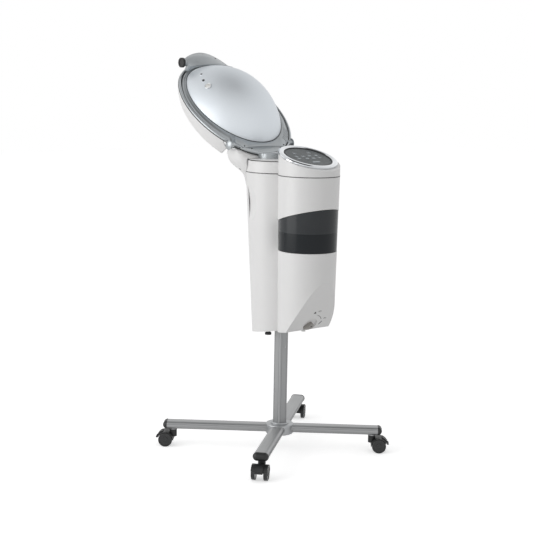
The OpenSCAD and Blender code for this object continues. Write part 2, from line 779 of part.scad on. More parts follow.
function dome_ring(h, t, n) = [for (i = [0:n - 1]) dome_pt(h, 360 * i / n, t)];
// A place on the dome by its height share h and turn a, with +Z along the dome's own normal
module at_dome(h, a) {
  s = dome_s(h);
  v = s * sin(a) / dome_b;
  g = [cos(a) * s / dome_a, v, (dome_pow / 2 * pow(h, dome_pow - 1) - dome_shift * v) / dome_h];
  translate(dome_pt(h, a, 0)) rotate([-dome_dip, 0, 0]) rotate([0, acos(g[2] / norm(g)), atan2(g[1], g[0])]) children();
}
module hood_dome() {
  out = [for (k = [0:14]) dome_ring(sin(87 * k / 14), 0, hn)];
  inn = [for (k = [9:-1:0]) dome_ring(sin(85 * k / 9), 3, hn)];
  color("silver") at_hood() difference() {
    loft(concat(inn, out));
    at_dome(0.417, 137.6) cube([7, 11, 20], center = true);
    at_dome(0.461, 153.3) cube([8, 13, 20], center = true);
    at_dome(0.513, 167.6) cylinder(d = 18, h = 30, center = true);
  }
}
module dome_lens() {
  color("white") at_hood() at_dome(0.513, 167.6) {
    translate([0, 0, -3.4]) cylinder(d = 17.6, h = 4.6);
    translate([0, 0, 0.9]) difference() {
      cylinder(d = 23, h = 2.2);
      translate([0, 0, 0.5]) cylinder(d = 17, h = 4);
    }
    translate([0, 0, 1.1]) intersection() {
      cylinder(d = 16.6, h = 6);
      translate([0, 0, -17]) sphere(r = 19.4);
    }
  }
}
function skirt_n(y) = -(46 - 0.12 * y);
function skirt_e(k, a) = let (y = ring_b * sin(a), f = 0.93 + 0.00018 * y)
  [(ring_a * f + k) * cos(a), (ring_b * f + k) * sin(a)];
function mid_e(k, a) = let (p = rim_e(k, a), q = skirt_e(k, a)) 0.4 * p + 0.6 * q + 3 * [cos(a), sin(a)];
function skirt_sec(a) = let (o = skirt_e(0, a), n = skirt_n(o[1])) [
  pt(rim_e(-5, a), -5.2),
  pt(mid_e(-3, a), 0.55 * n - 2.3),
  pt(skirt_e(-3, a), n),
  pt(skirt_e(0, a), n),
  pt(mid_e(0, a), 0.55 * n - 2.3),
  pt(rim_e(-1.2, a), -5.2)];
module hood_skirt() {
  color("white") at_hood() difference() {
    band([for (i = [0:hn - 1]) skirt_sec(360 * i / hn)]);
    translate([-300, pivot_d + 15, -40]) rotate([25, 0, 0]) translate([0, -200, -100]) cube([600, 200, 200]);
    for (s = [-1, 1]) at_pivot() translate([0, 0, s * 128]) cylinder(r = 22, h = 60, center = true);
  }
}
module hood_hinge_caps() {
  color("silver") at_hood() for (s = [0, 1]) mirror([s, 0, 0]) at_pivot() {
    translate([0, 0, 98]) cylinder(d = 8, h = 37);
    translate([0, 0, 133.6]) intersection() {
      cylinder(r = 17, h = 8, $fn = 96);
      translate([0, 0, -22]) sphere(r = 28, $fn = 96);
    }
  }
}
// Visor: its right end drops and draws back on to the hood, its left end stays up at the clamp
function vis_w(x) = pow(max(0, x + 30) / 134, 2);
function vis_r(x) = 267 * sqrt(1 - x * x / 40000) - 40 * vis_w(x);
function vis_foot(x) = 11 + 31 * sqrt(max(0, 1 - x * x / 8100));
function vis_sec(x) = let (u = x / 104, w = vis_w(x), r = vis_r(x), b = 190 + 5 * u * u, t = 45.8 - 16 * u * u,
  c = 50 - 5 * u * u - 36 * w, v = 26 * w) [
  [x, b, vis_foot(x)],
  [x, b + 3, vis_foot(x)],
  [x, b + 3, t - 3.2],
  [x, (b + r) / 2, c - 2.8],
  [x, r - 4, 39 - v],
  [x, r - 3.4, 31 - v],
  [x, r - 0.6, 31 - v],
  [x, r, 40 - v],
  [x, r - 3, 43.4 - v],
  [x, (b + r) / 2, c],
  [x, b, t]];
module hood_visor() {
  color("silver") at_hood() {
    loft([for (k = [-26:22]) vis_sec(4 * k)]);
    translate([-99.5, visor_d, visor_n - 10]) rotate([0, 90, 0]) difference() {
      cylinder(r = 11.5, h = 6.6, center = true);
      cylinder(d = 6.2, h = 8, center = true);
    }
  }
}
module visor_knobs() {
  at_hood() mirror([1, 0, 0]) translate([104.3, visor_d, visor_n - 10]) rotate([0, 90, 0]) {
    color("silver") difference() {
      cylinder(r = 11, h = 11);
      for (k = [0:11]) rotate([0, 0, 30 * k]) translate([11.4, 0, -1]) cylinder(d = 2.4, h = 13);
    }
    color("black") translate([0, 0, 10.99]) difference() {
      cylinder(r = 17, h = 9);
      translate([0, 0, 8]) cylinder(r = 12, h = 2);
      for (k = [0:23]) rotate([0, 0, 15 * k]) translate([17.3, 0, -1]) cylinder(d = 1.8, h = 12);
    }
    color("silver") translate([0, 0, -18.4]) cylinder(d = 6, h = 18.5);
  }
}
module mist_nozzle() {
  color("gainsboro") at_hood() difference() {
    union() {
      translate([0, 0, 6]) rotate_extrude(angle = 360, $fn = 128) translate([112, 0]) circle(r = 7);
      for (s = [0, 1]) mirror([s, 0, 0]) translate([116, -5, dome_n(-5) - 0.1]) cube([41.4, 14, 3]);
    }
    translate([0, 0, 6]) rotate_extrude(angle = 360, $fn = 128) translate([112, 0]) circle(r = 5);
    for (k = [0:23]) rotate([0, 0, 15 * k]) translate([112, 0, -4]) cylinder(d = 3, h = 8);
  }
}

// White cover at the back of the neck, flaring from the casing to a shelf under the hood ring
function flat_cos(c, n) = sign(c) * pow(abs(c), 2 / n);
function neck_loop(t, v) = [for (i = [0:47]) [(v[2] - t) * flat_cos(cos(7.5 * i), v[4]),
  v[1] + (v[3] - t) * flat_cos(sin(7.5 * i), v[4]), v[0]]];
neck_form = [[868, 96, 66, 49, 2], [890, 97, 72, 53, 2], [920, 100, 79, 56, 2], [934, 102, 83, 58, 2],
  [946, 108, 91, 63, 2.1], [961, 119, 104, 70, 2.3], [972, 126, 112, 71, 2.5], [985, 131, 117, 70, 2.6],
  [1000, 138, 117, 66, 2.8], [1012, 140, 117, 64, 2.8], [1045, 142, 116, 62, 2.8]];
module neck_cover() {
  color("white") difference() {
    union() {
      difference() {
        loft([for (v = neck_form) neck_loop(0, v)]);
        loft([for (v = concat([[860, 96, 64, 47, 2]], neck_form, [[1060, 142, 116, 62, 2.8]])) neck_loop(3, v)]);
      }
      intersection() {
        loft([for (v = neck_form) neck_loop(1, v)]);
        at_hood() difference() {
          translate([-200, -300, -11.6]) cube([400, 120, 3]);
          rim_block(-4, -13, -8);
        }
      }
    }
    translate([-200, -100, 860]) cube([400, 172, 200]);
    rear_lobe(-0.3, seam_z);
    translate([0, rear_y, seam_z - 0.1]) cylinder(r = lobe_r + 0.3, h = 44.35, $fn = 128);
    translate([0, duct_y - 10, seam_z + 40]) cylinder(r = 46.4, h = 30, $fn = 96);
    at_hood() {
      translate([-200, -400, -9]) cube([400, 600, 300]);
      translate([-300, pivot_d + 12, -40]) rotate([25, 0, 0]) translate([0, 0, -300]) cube([600, 400, 600]);
      for (s = [-1, 1]) at_pivot() translate([0, 0, s * 128]) cylinder(r = 14.5, h = 60, center = true);
    }
    for (k = [0:2]) for (s = [-1, 1]) translate([s * 70, 150, 930 + 9 * k]) rotate([0, 0, s * -40])
      translate([-9, -30, 0]) cube([18, 60, 3]);
  }
}

base_hub_upper();
base_hub_lower();
leg_1();
leg_2();
leg_3();
leg_4();
leg_end_caps();
post();
post_stop_screw();
caster_stem_1();
caster_fork_1();
caster_wheels_1();
brake_lever_1();
caster_stem_2();
caster_fork_2();
caster_wheels_2();
brake_lever_2();
caster_stem_3();
caster_fork_3();
caster_wheels_3();
brake_lever_3();
caster_stem_4();
caster_fork_4();
caster_wheels_4();
brake_lever_4();
main_casing();
rear_cover();
top_cap();
bottom_cover();
slide_sleeve();
slide_bushes();
neck_cover();
yoke();
mist_duct();
mist_chamber();
transducers();
blower_casing();
impeller();
power_supply();
control_board();
power_inlet();
drain_valve();
drain_knob();
water_tank();
tank_lid();
panel_bezel();
panel_plate();
start_key();
key_1();
key_2();
key_3();
key_4();
hood_ring();
hood_dome();
hood_skirt();
hood_hinge_caps();
dome_lens();
hood_visor();
visor_knobs();
mist_nozzle();
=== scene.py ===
# %% [markdown]
# # A salon hair steamer, dressed for the camera
# The machine is a white two-lobed body that slides on a square post. A silver hood tilts over the
# client, a smoked water tank slides out at the front, and four legs roll on twin-wheel casters.
# The packed model gives every part its shape and its place. This lesson gives the parts their
# finishes, grows the dome again as a finer surface, and adds the small things that a maker adds last:
# a seal round the panel, screws, vent screens and prints, and black beads that are painted shade in
# the gaps of the hood and the casing. Lengths are in metres unless the text says otherwise.

# %% Load the packed model
import json
import math

import bmesh
import bpy
from mathutils import Matrix, Vector
from mathutils.bvhtree import BVHTree


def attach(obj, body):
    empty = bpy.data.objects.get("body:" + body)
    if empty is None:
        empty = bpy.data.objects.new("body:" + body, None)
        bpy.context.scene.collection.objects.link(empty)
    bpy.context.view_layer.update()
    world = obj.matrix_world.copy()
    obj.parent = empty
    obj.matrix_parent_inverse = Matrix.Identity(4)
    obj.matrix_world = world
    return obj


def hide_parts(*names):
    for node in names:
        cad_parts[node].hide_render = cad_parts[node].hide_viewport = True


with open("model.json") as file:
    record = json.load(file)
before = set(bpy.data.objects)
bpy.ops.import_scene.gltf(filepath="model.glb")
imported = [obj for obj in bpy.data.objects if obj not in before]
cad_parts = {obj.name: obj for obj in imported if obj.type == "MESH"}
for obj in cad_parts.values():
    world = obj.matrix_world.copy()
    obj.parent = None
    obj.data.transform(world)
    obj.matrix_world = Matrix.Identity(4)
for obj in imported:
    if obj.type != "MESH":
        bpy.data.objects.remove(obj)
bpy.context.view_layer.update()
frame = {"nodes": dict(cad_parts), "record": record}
nodes = frame["nodes"]

# %% [markdown]
# ## Camera
# The photograph was taken from the front left, at about the height of the hood, with a long lens. The
# pose was worked out from the four legs and the square post. The camera's three axes are built from
# its turn, its pitch and its roll, because they are needed again further down, to find what lies
# behind a pixel. The lens is given for a square frame on a 36 mm sensor, so no shift is needed.

# %% Place the camera
IMAGE_SIDE = 535
FOCAL_PIXELS = 1215.0
SENSOR_MM = 36
FAR_LIMIT = 60
CAMERA_AT = (-2.533113, -3.119378, 1.266019)
TURN, PITCH, ROLL = (math.radians(degrees) for degrees in (-38.356, 9.044, 1.014))


def new_object(name, data):
    """An object at the origin of the scene."""
    thing = bpy.data.objects.new(name, data)
    bpy.context.scene.collection.objects.link(thing)
    return thing


camera_back = Vector((math.sin(TURN) * math.cos(PITCH), -math.cos(TURN) * math.cos(PITCH), math.sin(PITCH)))
level = Vector((math.cos(TURN), math.sin(TURN), 0))
upright = camera_back.cross(level)
camera_right = math.cos(ROLL) * level + math.sin(ROLL) * upright
camera_up = -math.sin(ROLL) * level + math.cos(ROLL) * upright
camera = new_object("photo_camera", bpy.data.cameras.new("photo_camera"))
camera.data.sensor_width = SENSOR_MM
camera.data.lens = FOCAL_PIXELS * SENSOR_MM / IMAGE_SIDE
camera.data.clip_end = FAR_LIMIT
pose = Matrix((camera_right, camera_up, camera_back)).transposed().to_4x4()
pose.translation = CAMERA_AT
camera.matrix_world = pose
bpy.context.scene.camera = camera
print("lens", round(camera.data.lens, 2), "mm")

# %% [markdown]
# ## Writing materials as sums
# A procedural finish is a small calculation that runs at every point of a surface. Blender draws it
# as boxes and wires, which gets long. The class below wraps one output socket, so that plus, minus
# and times in Python add the Math nodes.

# %% A socket that can be added and multiplied
class Value:
    """One output socket of a node."""

    def __init__(self, graph, socket):
        self.graph, self.socket = graph, socket

    def _maths(self, operation, first, second):
        return self.graph.node("ShaderNodeMath", {"operation": operation}, first, second)

    def __add__(self, other):
        return self._maths("ADD", self, other)

    def __sub__(self, other):
        return self._maths("SUBTRACT", self, other)

    def __rsub__(self, other):
        return self._maths("SUBTRACT", other, self)

    def __mul__(self, other):
        return self._maths("MULTIPLY", self, other)

    def __pow__(self, other):
        return self._maths("POWER", self, other)

    def __lt__(self, other):
        return self._maths("LESS_THAN", self, other)

    def __abs__(self):
        return self._maths("ABSOLUTE", self, None)

    def curve(self, operation, other=None):
        """A sine, a cosine or a limit, by the name of the Math node's operation."""
        return self._maths(operation, self, other)

    __radd__ = __add__
    __rmul__ = __mul__


print("reflected forms:", [name for name in vars(Value) if name.startswith("__r")])

# %% [markdown]
# Every other kind of node is made by one method, which is given the kind, the settings and what goes
# into the sockets. It serves materials, the world and Geometry Nodes, since all three are node trees.

# %% A node tree
class Graph:
    """A node tree, with one way to add a node."""

    def __init__(self, tree):
        self.tree = tree

    def node(self, kind, settings=None, *values, out=0, **named):
        """Sets the node's settings first, then its sockets in their order, then its sockets by name."""
        made = self.tree.nodes.new(kind)
        for key, value in (settings or {}).items():
            setattr(made, key, value)
        wanted = [(made.inputs[i], v) for i, v in enumerate(values)]
        wanted += [(made.inputs[k.replace("_", " ")], v) for k, v in named.items()]
        for socket, value in wanted:
            if isinstance(value, Value):
                self.tree.links.new(value.socket, socket)
            elif value is not None:
                socket.default_value = value
        return Value(self, made.outputs[out])

    def ramp(self, value, low, high, first=0.0, last=1.0):
        """First up to low, last from high on, and a straight line in between."""
        return self.node("ShaderNodeMapRange", {"clamp": True}, value, low, high, first, last)


print("a Graph knows", [name for name in vars(Graph) if not name.startswith("_")])

# %% [markdown]
# ## One finish, built on one shader
# Every finish here is a Principled shader. Numbers that are the same all over, such as the specular
# level, are set on the shader itself. On the product only colour, roughness and the surface normal
# vary. Patterns read Object coordinates, so they are in metres and stay on a part when it moves.

# %% The finish class
class Finish(Graph):
    """A material with one Principled shader, whose constants are given by name."""

    def __init__(self, name, **constants):
        self.material = bpy.data.materials.new(name)
        self.material.use_nodes = True
        super().__init__(self.material.node_tree)
        self.shader = self.tree.nodes["Principled BSDF"]
        for key, value in constants.items():
            self.shader.inputs[key.replace("_", " ")].default_value = value

    def feed(self, **values):
        """Links what varies into the shader's sockets."""
        for key, value in values.items():
            self.tree.links.new(value.socket, self.shader.inputs[key.replace("_", " ")])
        return self.material

    def place(self):
        return self.node("ShaderNodeTexCoord", out="Object")

    def noise(self, scale, detail=2.0, vector=None, rough=0.5):
        vector = vector or self.place()
        return self.node("ShaderNodeTexNoise", {}, Vector=vector, Scale=scale, Detail=detail, Roughness=rough,
                         out="Fac")

    def blend(self, factor, first, second):
        """A mix of two colours. The Mix node has five sockets for numbers and vectors in between."""
        between = (None,) * 5
        return self.node("ShaderNodeMix", {"data_type": "RGBA"}, factor, *between, first, second, out=2)

    def bump(self, height, depth):
        return self.node("ShaderNodeBump", {}, Height=height, Distance=depth, Strength=1.0)


def grey(value, warm=0.0):
    """A linear colour near grey, a little warm or cool."""
    return (value * (1 + warm), value, value * (1 - warm), 1)


finishes = {}
print("a white of 0.8 is written", grey(0.8))

# %% [markdown]
# ## Moulded plastics
# The casing is a gloss white moulding. Real mouldings are never a perfect mirror: the tool leaves a
# very fine orange peel, the gloss drifts over the part, and dust and handling leave faint soft
# spots. Three noises do that: a slow one and a spotty one for colour and gloss, and one near a
# millimetre for the peel. The black and grey mouldings use the same recipe with a spark-eroded grain,
# which is finer and deeper. The first two noises add three quarters of the spread to the roughness on
# average, so that much comes off, and `rough` is the mean.

# %% Mix the plastics
DRIFT_SCALE, SPOT_SCALE = 7.0, 38.0


def moulding(slot, colour, shade, rough, grain, depth, spread=0.06, **constants):
    finish = Finish(slot, **constants)
    slow = finish.noise(DRIFT_SCALE, 3.0)
    spots = finish.ramp(finish.noise(SPOT_SCALE, 4.0, rough=0.6), 0.35, 0.65)
    finishes[slot] = finish.feed(
        Base_Color=finish.blend(slow * 0.6 + spots * 0.4, colour, shade),
        Roughness=slow * spread + spots * spread * 0.5 + (rough - spread * 0.75),
        Normal=finish.bump(finish.noise(grain, 2.0), depth))


moulding("white_plastic", grey(0.80, 0.003), grey(0.788, 0.005), rough=0.34, grain=900, depth=0.00002,
         spread=0.03, Coat_Weight=0.12, Coat_Roughness=0.2)
moulding("silver_plastic", (0.46, 0.485, 0.50, 1), (0.42, 0.445, 0.46, 1), rough=0.30, grain=1500,
         depth=0.000006, spread=0.03, Metallic=0.75)
moulding("black_plastic", grey(0.012, -0.05), grey(0.019, -0.03), rough=0.42, grain=2200, depth=0.00008)
moulding("wheel_rubber", grey(0.010, -0.08), grey(0.016, -0.05), rough=0.24, grain=1300, depth=0.00003,
         Coat_Weight=0.4)
moulding("light_plastic", (0.80, 0.80, 0.78, 1), (0.74, 0.74, 0.72, 1), rough=0.32, grain=1200, depth=0.00002)
moulding("knob_grey", (0.36, 0.345, 0.325, 1), (0.32, 0.305, 0.285, 1), rough=0.32, grain=1400, depth=0.00004)
moulding("panel_grey", (0.080, 0.093, 0.099, 1), (0.064, 0.075, 0.081, 1), rough=0.42, grain=2400,
         depth=0.00005)
moulding("key_light", (0.46, 0.50, 0.53, 1), (0.41, 0.45, 0.48, 1), rough=0.36, grain=2000, depth=0.00003)
moulding("knob_black", grey(0.010), grey(0.016), rough=0.38, grain=1800, depth=0.00008)
print(len(finishes), "mouldings")

# %% [markdown]
# ## Brushed aluminium
# Extruded aluminium keeps fine lines along its length, from the die and from brushing. One noise does
# it when a Mapping node stretches it along the length and squeezes it across. The legs cross, so each
# pair needs its own direction, and the upright post has a third.

# %% Brush the post and the legs
LINE_LENGTH, LINE_WIDTH = 0.35, 0.0009
LEG_ANGLE = 48.9


def brushed(name, turn_z, upright=False):
    finish = Finish(name, Metallic=0.85)
    stretch = (LINE_WIDTH, LINE_WIDTH, LINE_LENGTH) if upright else (LINE_LENGTH, LINE_WIDTH, LINE_WIDTH)
    along = finish.node("ShaderNodeMapping", {"vector_type": "TEXTURE"}, Vector=finish.place(),
                        Rotation=(0, 0, math.radians(turn_z)), Scale=stretch)
    lines = finish.noise(1.0, 3.0, along, 0.6)
    patch = finish.noise(9.0, 2.0)
    return finish.feed(
        Base_Color=finish.blend(lines * 0.7 + patch * 0.3, (0.42, 0.425, 0.43, 1), (0.34, 0.345, 0.35, 1)),
        Roughness=lines * 0.10 + patch * 0.08 + 0.30,
        Normal=finish.bump(lines, 0.00006))


finishes["anodised"] = brushed("anodised_post", 0, upright=True)
odd_legs = brushed("anodised_leg_a", 90 - LEG_ANGLE)
even_legs = brushed("anodised_leg_b", LEG_ANGLE - 90)
print("brushed:", finishes["anodised"].name, odd_legs.name, even_legs.name)

# %% [markdown]
# ## Pearl paint, chrome and other metals
# The dome is painted with a pearl silver, where tiny flakes catch the light one by one. A Voronoi
# pattern gives every flake one random number, which is both its tone and its gloss. Chrome only needs
# a faint polishing haze. The other metals share its recipe, with more roughness and more bump.

# %% Paint and plate
FLAKES_PER_METRE = 1600.0
pearl = Finish("silver_paint", Metallic=0.8, Coat_Roughness=0.3, Coat_Weight=0.1)
flake = pearl.node("ShaderNodeTexVoronoi", {}, Vector=pearl.place(), Scale=FLAKES_PER_METRE, out="Color")
sparkle = pearl.node("ShaderNodeSeparateColor", {}, flake)
haze = pearl.noise(6.0, 2.0)
finishes["silver_paint"] = pearl.feed(
    Base_Color=pearl.blend(sparkle * 0.5 + haze * 0.5, (0.73, 0.775, 0.82, 1), (0.82, 0.855, 0.885, 1)),
    Roughness=sparkle * 0.06 + haze * 0.04 + 0.48,
    Normal=pearl.bump(sparkle, 0.000015))


def metal(slot, colour, shade, rough, grain, depth):
    finish = Finish(slot, Metallic=1.0)
    lines = finish.noise(grain, 4.0, rough=0.65)
    smear = finish.noise(14.0, 3.0)
    finishes[slot] = finish.feed(
        Base_Color=finish.blend(lines * 0.5 + smear * 0.5, colour, shade),
        Roughness=smear * rough * 0.5 + rough * 0.75,
        Normal=finish.bump(lines, depth))


metal("bright_metal", (0.86, 0.88, 0.90, 1), (0.80, 0.82, 0.85, 1), rough=0.07, grain=300, depth=0.000004)
metal("steel", (0.55, 0.55, 0.56, 1), (0.45, 0.45, 0.46, 1), rough=0.28, grain=1500, depth=0.00002)
metal("brass", (0.72, 0.55, 0.27, 1), (0.60, 0.44, 0.20, 1), rough=0.30, grain=1200, depth=0.00002)
metal("sheet_metal", (0.62, 0.63, 0.64, 1), (0.52, 0.53, 0.55, 1), rough=0.34, grain=500, depth=0.00002)
metal("hub_grey", (0.46, 0.47, 0.48, 1), (0.40, 0.41, 0.42, 1), rough=0.40, grain=1700, depth=0.00004)
print(len(finishes), "finishes so far")

# %% [markdown]
# ## Smoked tank
# The tank is dark tinted plastic. It looks almost black where it is full and a little lighter at the
# lid, so the two share one finish whose colour changes with height. A glass shader would be truer to
# the material, but in the photograph nothing shows through, so an opaque gloss finish reads the same.

# %% Tint the tank
TANK_SPLIT, SPLIT_BLUR = 0.765, 0.0006
smoked = Finish("smoked", Specular_IOR_Level=0.3, IOR=1.45, Coat_Weight=0.06, Coat_Roughness=0.05)
height = smoked.node("ShaderNodeSeparateXYZ", {}, smoked.place(), out="Z")
lid = smoked.ramp(height, TANK_SPLIT - SPLIT_BLUR, TANK_SPLIT + SPLIT_BLUR)
swirl = smoked.noise(11.0, 3.0)
deep = smoked.blend(swirl, (0.010, 0.013, 0.016, 1), (0.015, 0.018, 0.021, 1))
pale = smoked.blend(swirl, (0.032, 0.036, 0.040, 1), (0.045, 0.048, 0.051, 1))
finishes["smoked"] = smoked.feed(
    Base_Color=smoked.blend(lid, deep, pale),
    Roughness=swirl * 0.06 + 0.16,
    Normal=smoked.bump(smoked.noise(420.0, 2.0), 0.00002))
print("the tank turns paler above", TANK_SPLIT)

# %% [markdown]
# ## Circuit board
# The board is green lacquer over copper tracks, drawn as a brick pattern of thin lines. Its light
# pipes reach up through the control panel as the smaller keys. The panel leans towards the operator,
# so a dot product with its normal measures how far below its face a point lies. Less than a centimetre
# below it, the lacquer gives way to the colour of the keys.

# %% Lacquer the board
PANEL_TILT = math.radians(17.6)
PANEL_CENTRE = (0, -0.120, 1.007)
PANEL_UP = Vector((0, -math.sin(PANEL_TILT), math.cos(PANEL_TILT)))
PANEL_AWAY = Vector((0, math.cos(PANEL_TILT), math.sin(PANEL_TILT)))
PIPE_FOOT, PIPE_CLEAR = -0.0100, -0.0095
board = Finish("board_green", Coat_Weight=0.4)
track = board.node("ShaderNodeTexBrick", {}, Vector=board.place(), Scale=160.0, Mortar_Size=0.06, out="Fac")
grain = board.noise(90.0, 3.0)
lacquer = board.blend(track, board.blend(grain, (0.015, 0.12, 0.05, 1), (0.02, 0.16, 0.07, 1)),
                      (0.10, 0.26, 0.10, 1))
key_tone = board.blend(grain, (0.42, 0.46, 0.49, 1), (0.48, 0.52, 0.55, 1))
from_centre = board.node("ShaderNodeVectorMath", {"operation": "SUBTRACT"}, board.place(), PANEL_CENTRE)
above = board.node("ShaderNodeVectorMath", {"operation": "DOT_PRODUCT"}, from_centre, tuple(PANEL_UP),
                   out="Value")
finishes["board_green"] = board.feed(
    Base_Color=board.blend(board.ramp(above, PIPE_FOOT, PIPE_CLEAR), lacquer, key_tone),
    Roughness=grain * 0.1 + 0.3,
    Normal=board.bump(track, 0.00003))
print(len(finishes), "finishes")

# %% [markdown]
# ## Dressing the packed parts
# Each packed part names a material slot in the record, so one loop gives every part its finish. The
# legs are an exception, because their brushing has a direction. The hinge caps are another: they are
# satin like the ring, not mirror bright.

# %% Give every part its finish
slot_of = {part["node"]: part["material_slot"] for part in frame["record"]["subparts"]}
body_of = {name: body for body, names in frame["record"]["behaviour"]["bodies"].items() for name in names}


def finish_for(node):
    if node.startswith("leg_") and node[-1].isdigit():
        return odd_legs if int(node[-1]) % 2 else even_legs
    if node == "hood_hinge_caps":
        return finishes["silver_plastic"]
    return finishes[slot_of[node]]


for node, thing in nodes.items():
    if thing.material_slots:
        for material_slot in thing.material_slots:
            material_slot.material = finish_for(node)
    else:
        thing.data.materials.append(finish_for(node))
print(len(nodes), "parts dressed")

# %% [markdown]
# ## Settling a piece
# A finished piece sits at the origin with its place in its mesh. This helper turns a mesh into such a
# piece, makes its faces point outwards, gives it a finish and lets it ride on its body. Edges are
# shaded smooth unless they turn by more than the sharp angle.

# %% Settle a piece
OUTWARD_MERGE = 0.000002
SHARP_ANGLE = 35


def settle(thing, body, slot, sharp=SHARP_ANGLE, outward=True, stands_for=()):
    thing.data.transform(thing.matrix_world)
    thing.matrix_world = Matrix.Identity(4)
    mesh = thing.data
    if outward:
        work = bmesh.new()
        work.from_mesh(mesh)
        bmesh.ops.remove_doubles(work, verts=work.verts, dist=OUTWARD_MERGE)
        bmesh.ops.recalc_face_normals(work, faces=work.faces)
        work.to_mesh(mesh)
        work.free()
    mesh.shade_smooth()
    mesh.set_sharp_from_angle(angle=math.radians(sharp))
    if not mesh.materials:
        mesh.materials.append(finishes[slot])
    if stands_for:
        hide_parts(*stands_for)
    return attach(thing, body)


print("edges over", SHARP_ANGLE, "degrees stay sharp")

# %% [markdown]
# ## Smooth copies
# A packed part is loose triangles, which show as facets where it is curved and polished. The hood's
# parts are, so a copy of each is merged and shaded smooth, and stands for the part. A bmesh is
# Blender's mesh for editing, and it has to be written back and let go.

# %% Smooth the hood
PACKED_MERGE, PACKED_SLIVER = 0.00002, 0.000005
SMOOTH_PARTS = ("hood_ring", "hood_skirt", "hood_visor", "neck_cover", "yoke")


def written_mesh(name, work):
    """The mesh that was modelled in a bmesh, which is then let go."""
    mesh = bpy.data.meshes.new(name)
    work.to_mesh(mesh)
    work.free()
    return mesh


for node in SMOOTH_PARTS:
    work = bmesh.new()
    work.from_mesh(nodes[node].data)
    bmesh.ops.remove_doubles(work, verts=work.verts, dist=PACKED_MERGE)
    bmesh.ops.dissolve_degenerate(work, edges=work.edges, dist=PACKED_SLIVER)
    copy = new_object("dressed_" + node, written_mesh("dressed_" + node, work))
    copy.data.materials.append(finish_for(node))
    settle(copy, body_of[node], slot_of[node], outward=False, stands_for=(node,))
    print(copy.name, len(copy.data.polygons), "faces")

# %% [markdown]
# ## Geometry Nodes: three recipes
# What repeats, or follows a path, is made by Geometry Nodes: seals are beads along a path, screws and
# jets are one shape put on many places, and the dome is a grid that a formula bends. A recipe is a
# node tree with named inputs. It ends by making instances real and giving the piece its finish. The
# result is then read back as a plain mesh, so no live modifier is left on the piece.

# %% A recipe and how to grow a piece from it
class Recipe(Graph):
    """A Geometry Nodes tree with named inputs, which always has one for the finish."""

    def __init__(self, name, **inputs):
        super().__init__(bpy.data.node_groups.new(name, "GeometryNodeTree"))
        face = self.tree.interface
        face.new_socket("source", in_out="INPUT", socket_type="NodeSocketGeometry")
        face.new_socket("result", in_out="OUTPUT", socket_type="NodeSocketGeometry")
        self.keys = {}
        for key, kind in {**inputs, "finish": "Material"}.items():
            self.keys[key] = face.new_socket(key, in_out="INPUT", socket_type="NodeSocket" + kind).identifier
        self.entry = self.tree.nodes.new("NodeGroupInput")
        self.exit = self.tree.nodes.new("NodeGroupOutput")

    def given(self, name):
        return Value(self, self.entry.outputs[name])

    def close(self, made):
        real = self.node("GeometryNodeRealizeInstances", {}, made)
        dressed = self.node("GeometryNodeSetMaterial", {}, Geometry=real, Material=self.given("finish"))
        self.tree.links.new(dressed.socket, self.exit.inputs[0])
        print(self.tree.name, "takes", ", ".join(self.keys))


def grow(recipe, name, source, body, slot, sharp=SHARP_ANGLE, stands_for=(), **inputs):
    """Runs a recipe on a source object, and settles the mesh that comes out."""
    modifier = source.modifiers.new(recipe.tree.name, "NODES")
    modifier.node_group = recipe.tree
    for key, value in {**inputs, "finish": finishes[slot]}.items():
        modifier[recipe.keys[key]] = value
    mesh = bpy.data.meshes.new_from_object(source.evaluated_get(bpy.context.evaluated_depsgraph_get()))
    bpy.data.objects.remove(source)
    settle(new_object(name, mesh), body, slot, sharp, stands_for=stands_for)
    print(name, len(mesh.polygons), "faces on", body)


# %% [markdown]
# ## The hood's own frame
# The hood is drawn flat and then tilted about its centre. A matrix holds that tilt, so a seal or a
# screw can be placed by its distance from the rim, as a maker would dimension it. The dome follows a
# formula, and the slope of the same formula gives its normal at any place, so that vents and lens
# can lie square on the surface.

# %% Places on the hood
HOOD_TILT = math.radians(36.2)
HOOD_CENTRE = Vector((0, 0.2776, 1.147))
AT_HOOD = Matrix.Translation(HOOD_CENTRE) @ Matrix.Rotation(HOOD_TILT, 4, "X")
RING_HALF = (0.1915, 0.250)
DOME_HALF = (0.1633, 0.2066)
DOME_HEIGHT, DOME_WALL = 0.1088, 0.003
DOME_FOOT, DOME_FORWARD, DOME_SHIFT = 0.007, 0.0153, -0.0152
DOME_POWER = 1.2
DOME_LEAN = math.tan(math.radians(-0.3))


def rim(inset, angle, height):
    """A place on the hood ring, by its distance inside the rim."""
    return AT_HOOD @ Vector(((RING_HALF[0] - inset) * math.cos(angle),
                             (RING_HALF[1] - inset) * math.sin(angle), height))


def dome_frame(share, degrees):
    """A frame on the dome, by its share of the height and its turn. Z is the dome's normal."""
    angle = math.radians(degrees)
    spread = math.sqrt(1 - share ** DOME_POWER)
    sweep = DOME_SHIFT * share + DOME_HALF[1] * spread * math.sin(angle)
    spot = Vector((DOME_HALF[0] * spread * math.cos(angle), DOME_FORWARD + sweep,
                   DOME_FOOT + DOME_HEIGHT * share - DOME_LEAN * sweep))
    slope = spread * math.sin(angle) / DOME_HALF[1]
    normal = Vector((math.cos(angle) * spread / DOME_HALF[0], slope,
                     (DOME_POWER / 2 * share ** (DOME_POWER - 1) - DOME_SHIFT * slope) / DOME_HEIGHT))
    turned = Matrix.Rotation(math.atan2(normal.y, normal.x), 4, "Z")
    leaned = Matrix.Rotation(math.acos(normal.normalized().z), 4, "Y")
    return AT_HOOD @ Matrix.Translation(spot) @ turned @ leaned


print("the rim's far end is at", tuple(round(v, 3) for v in rim(0, math.pi / 2, 0)))

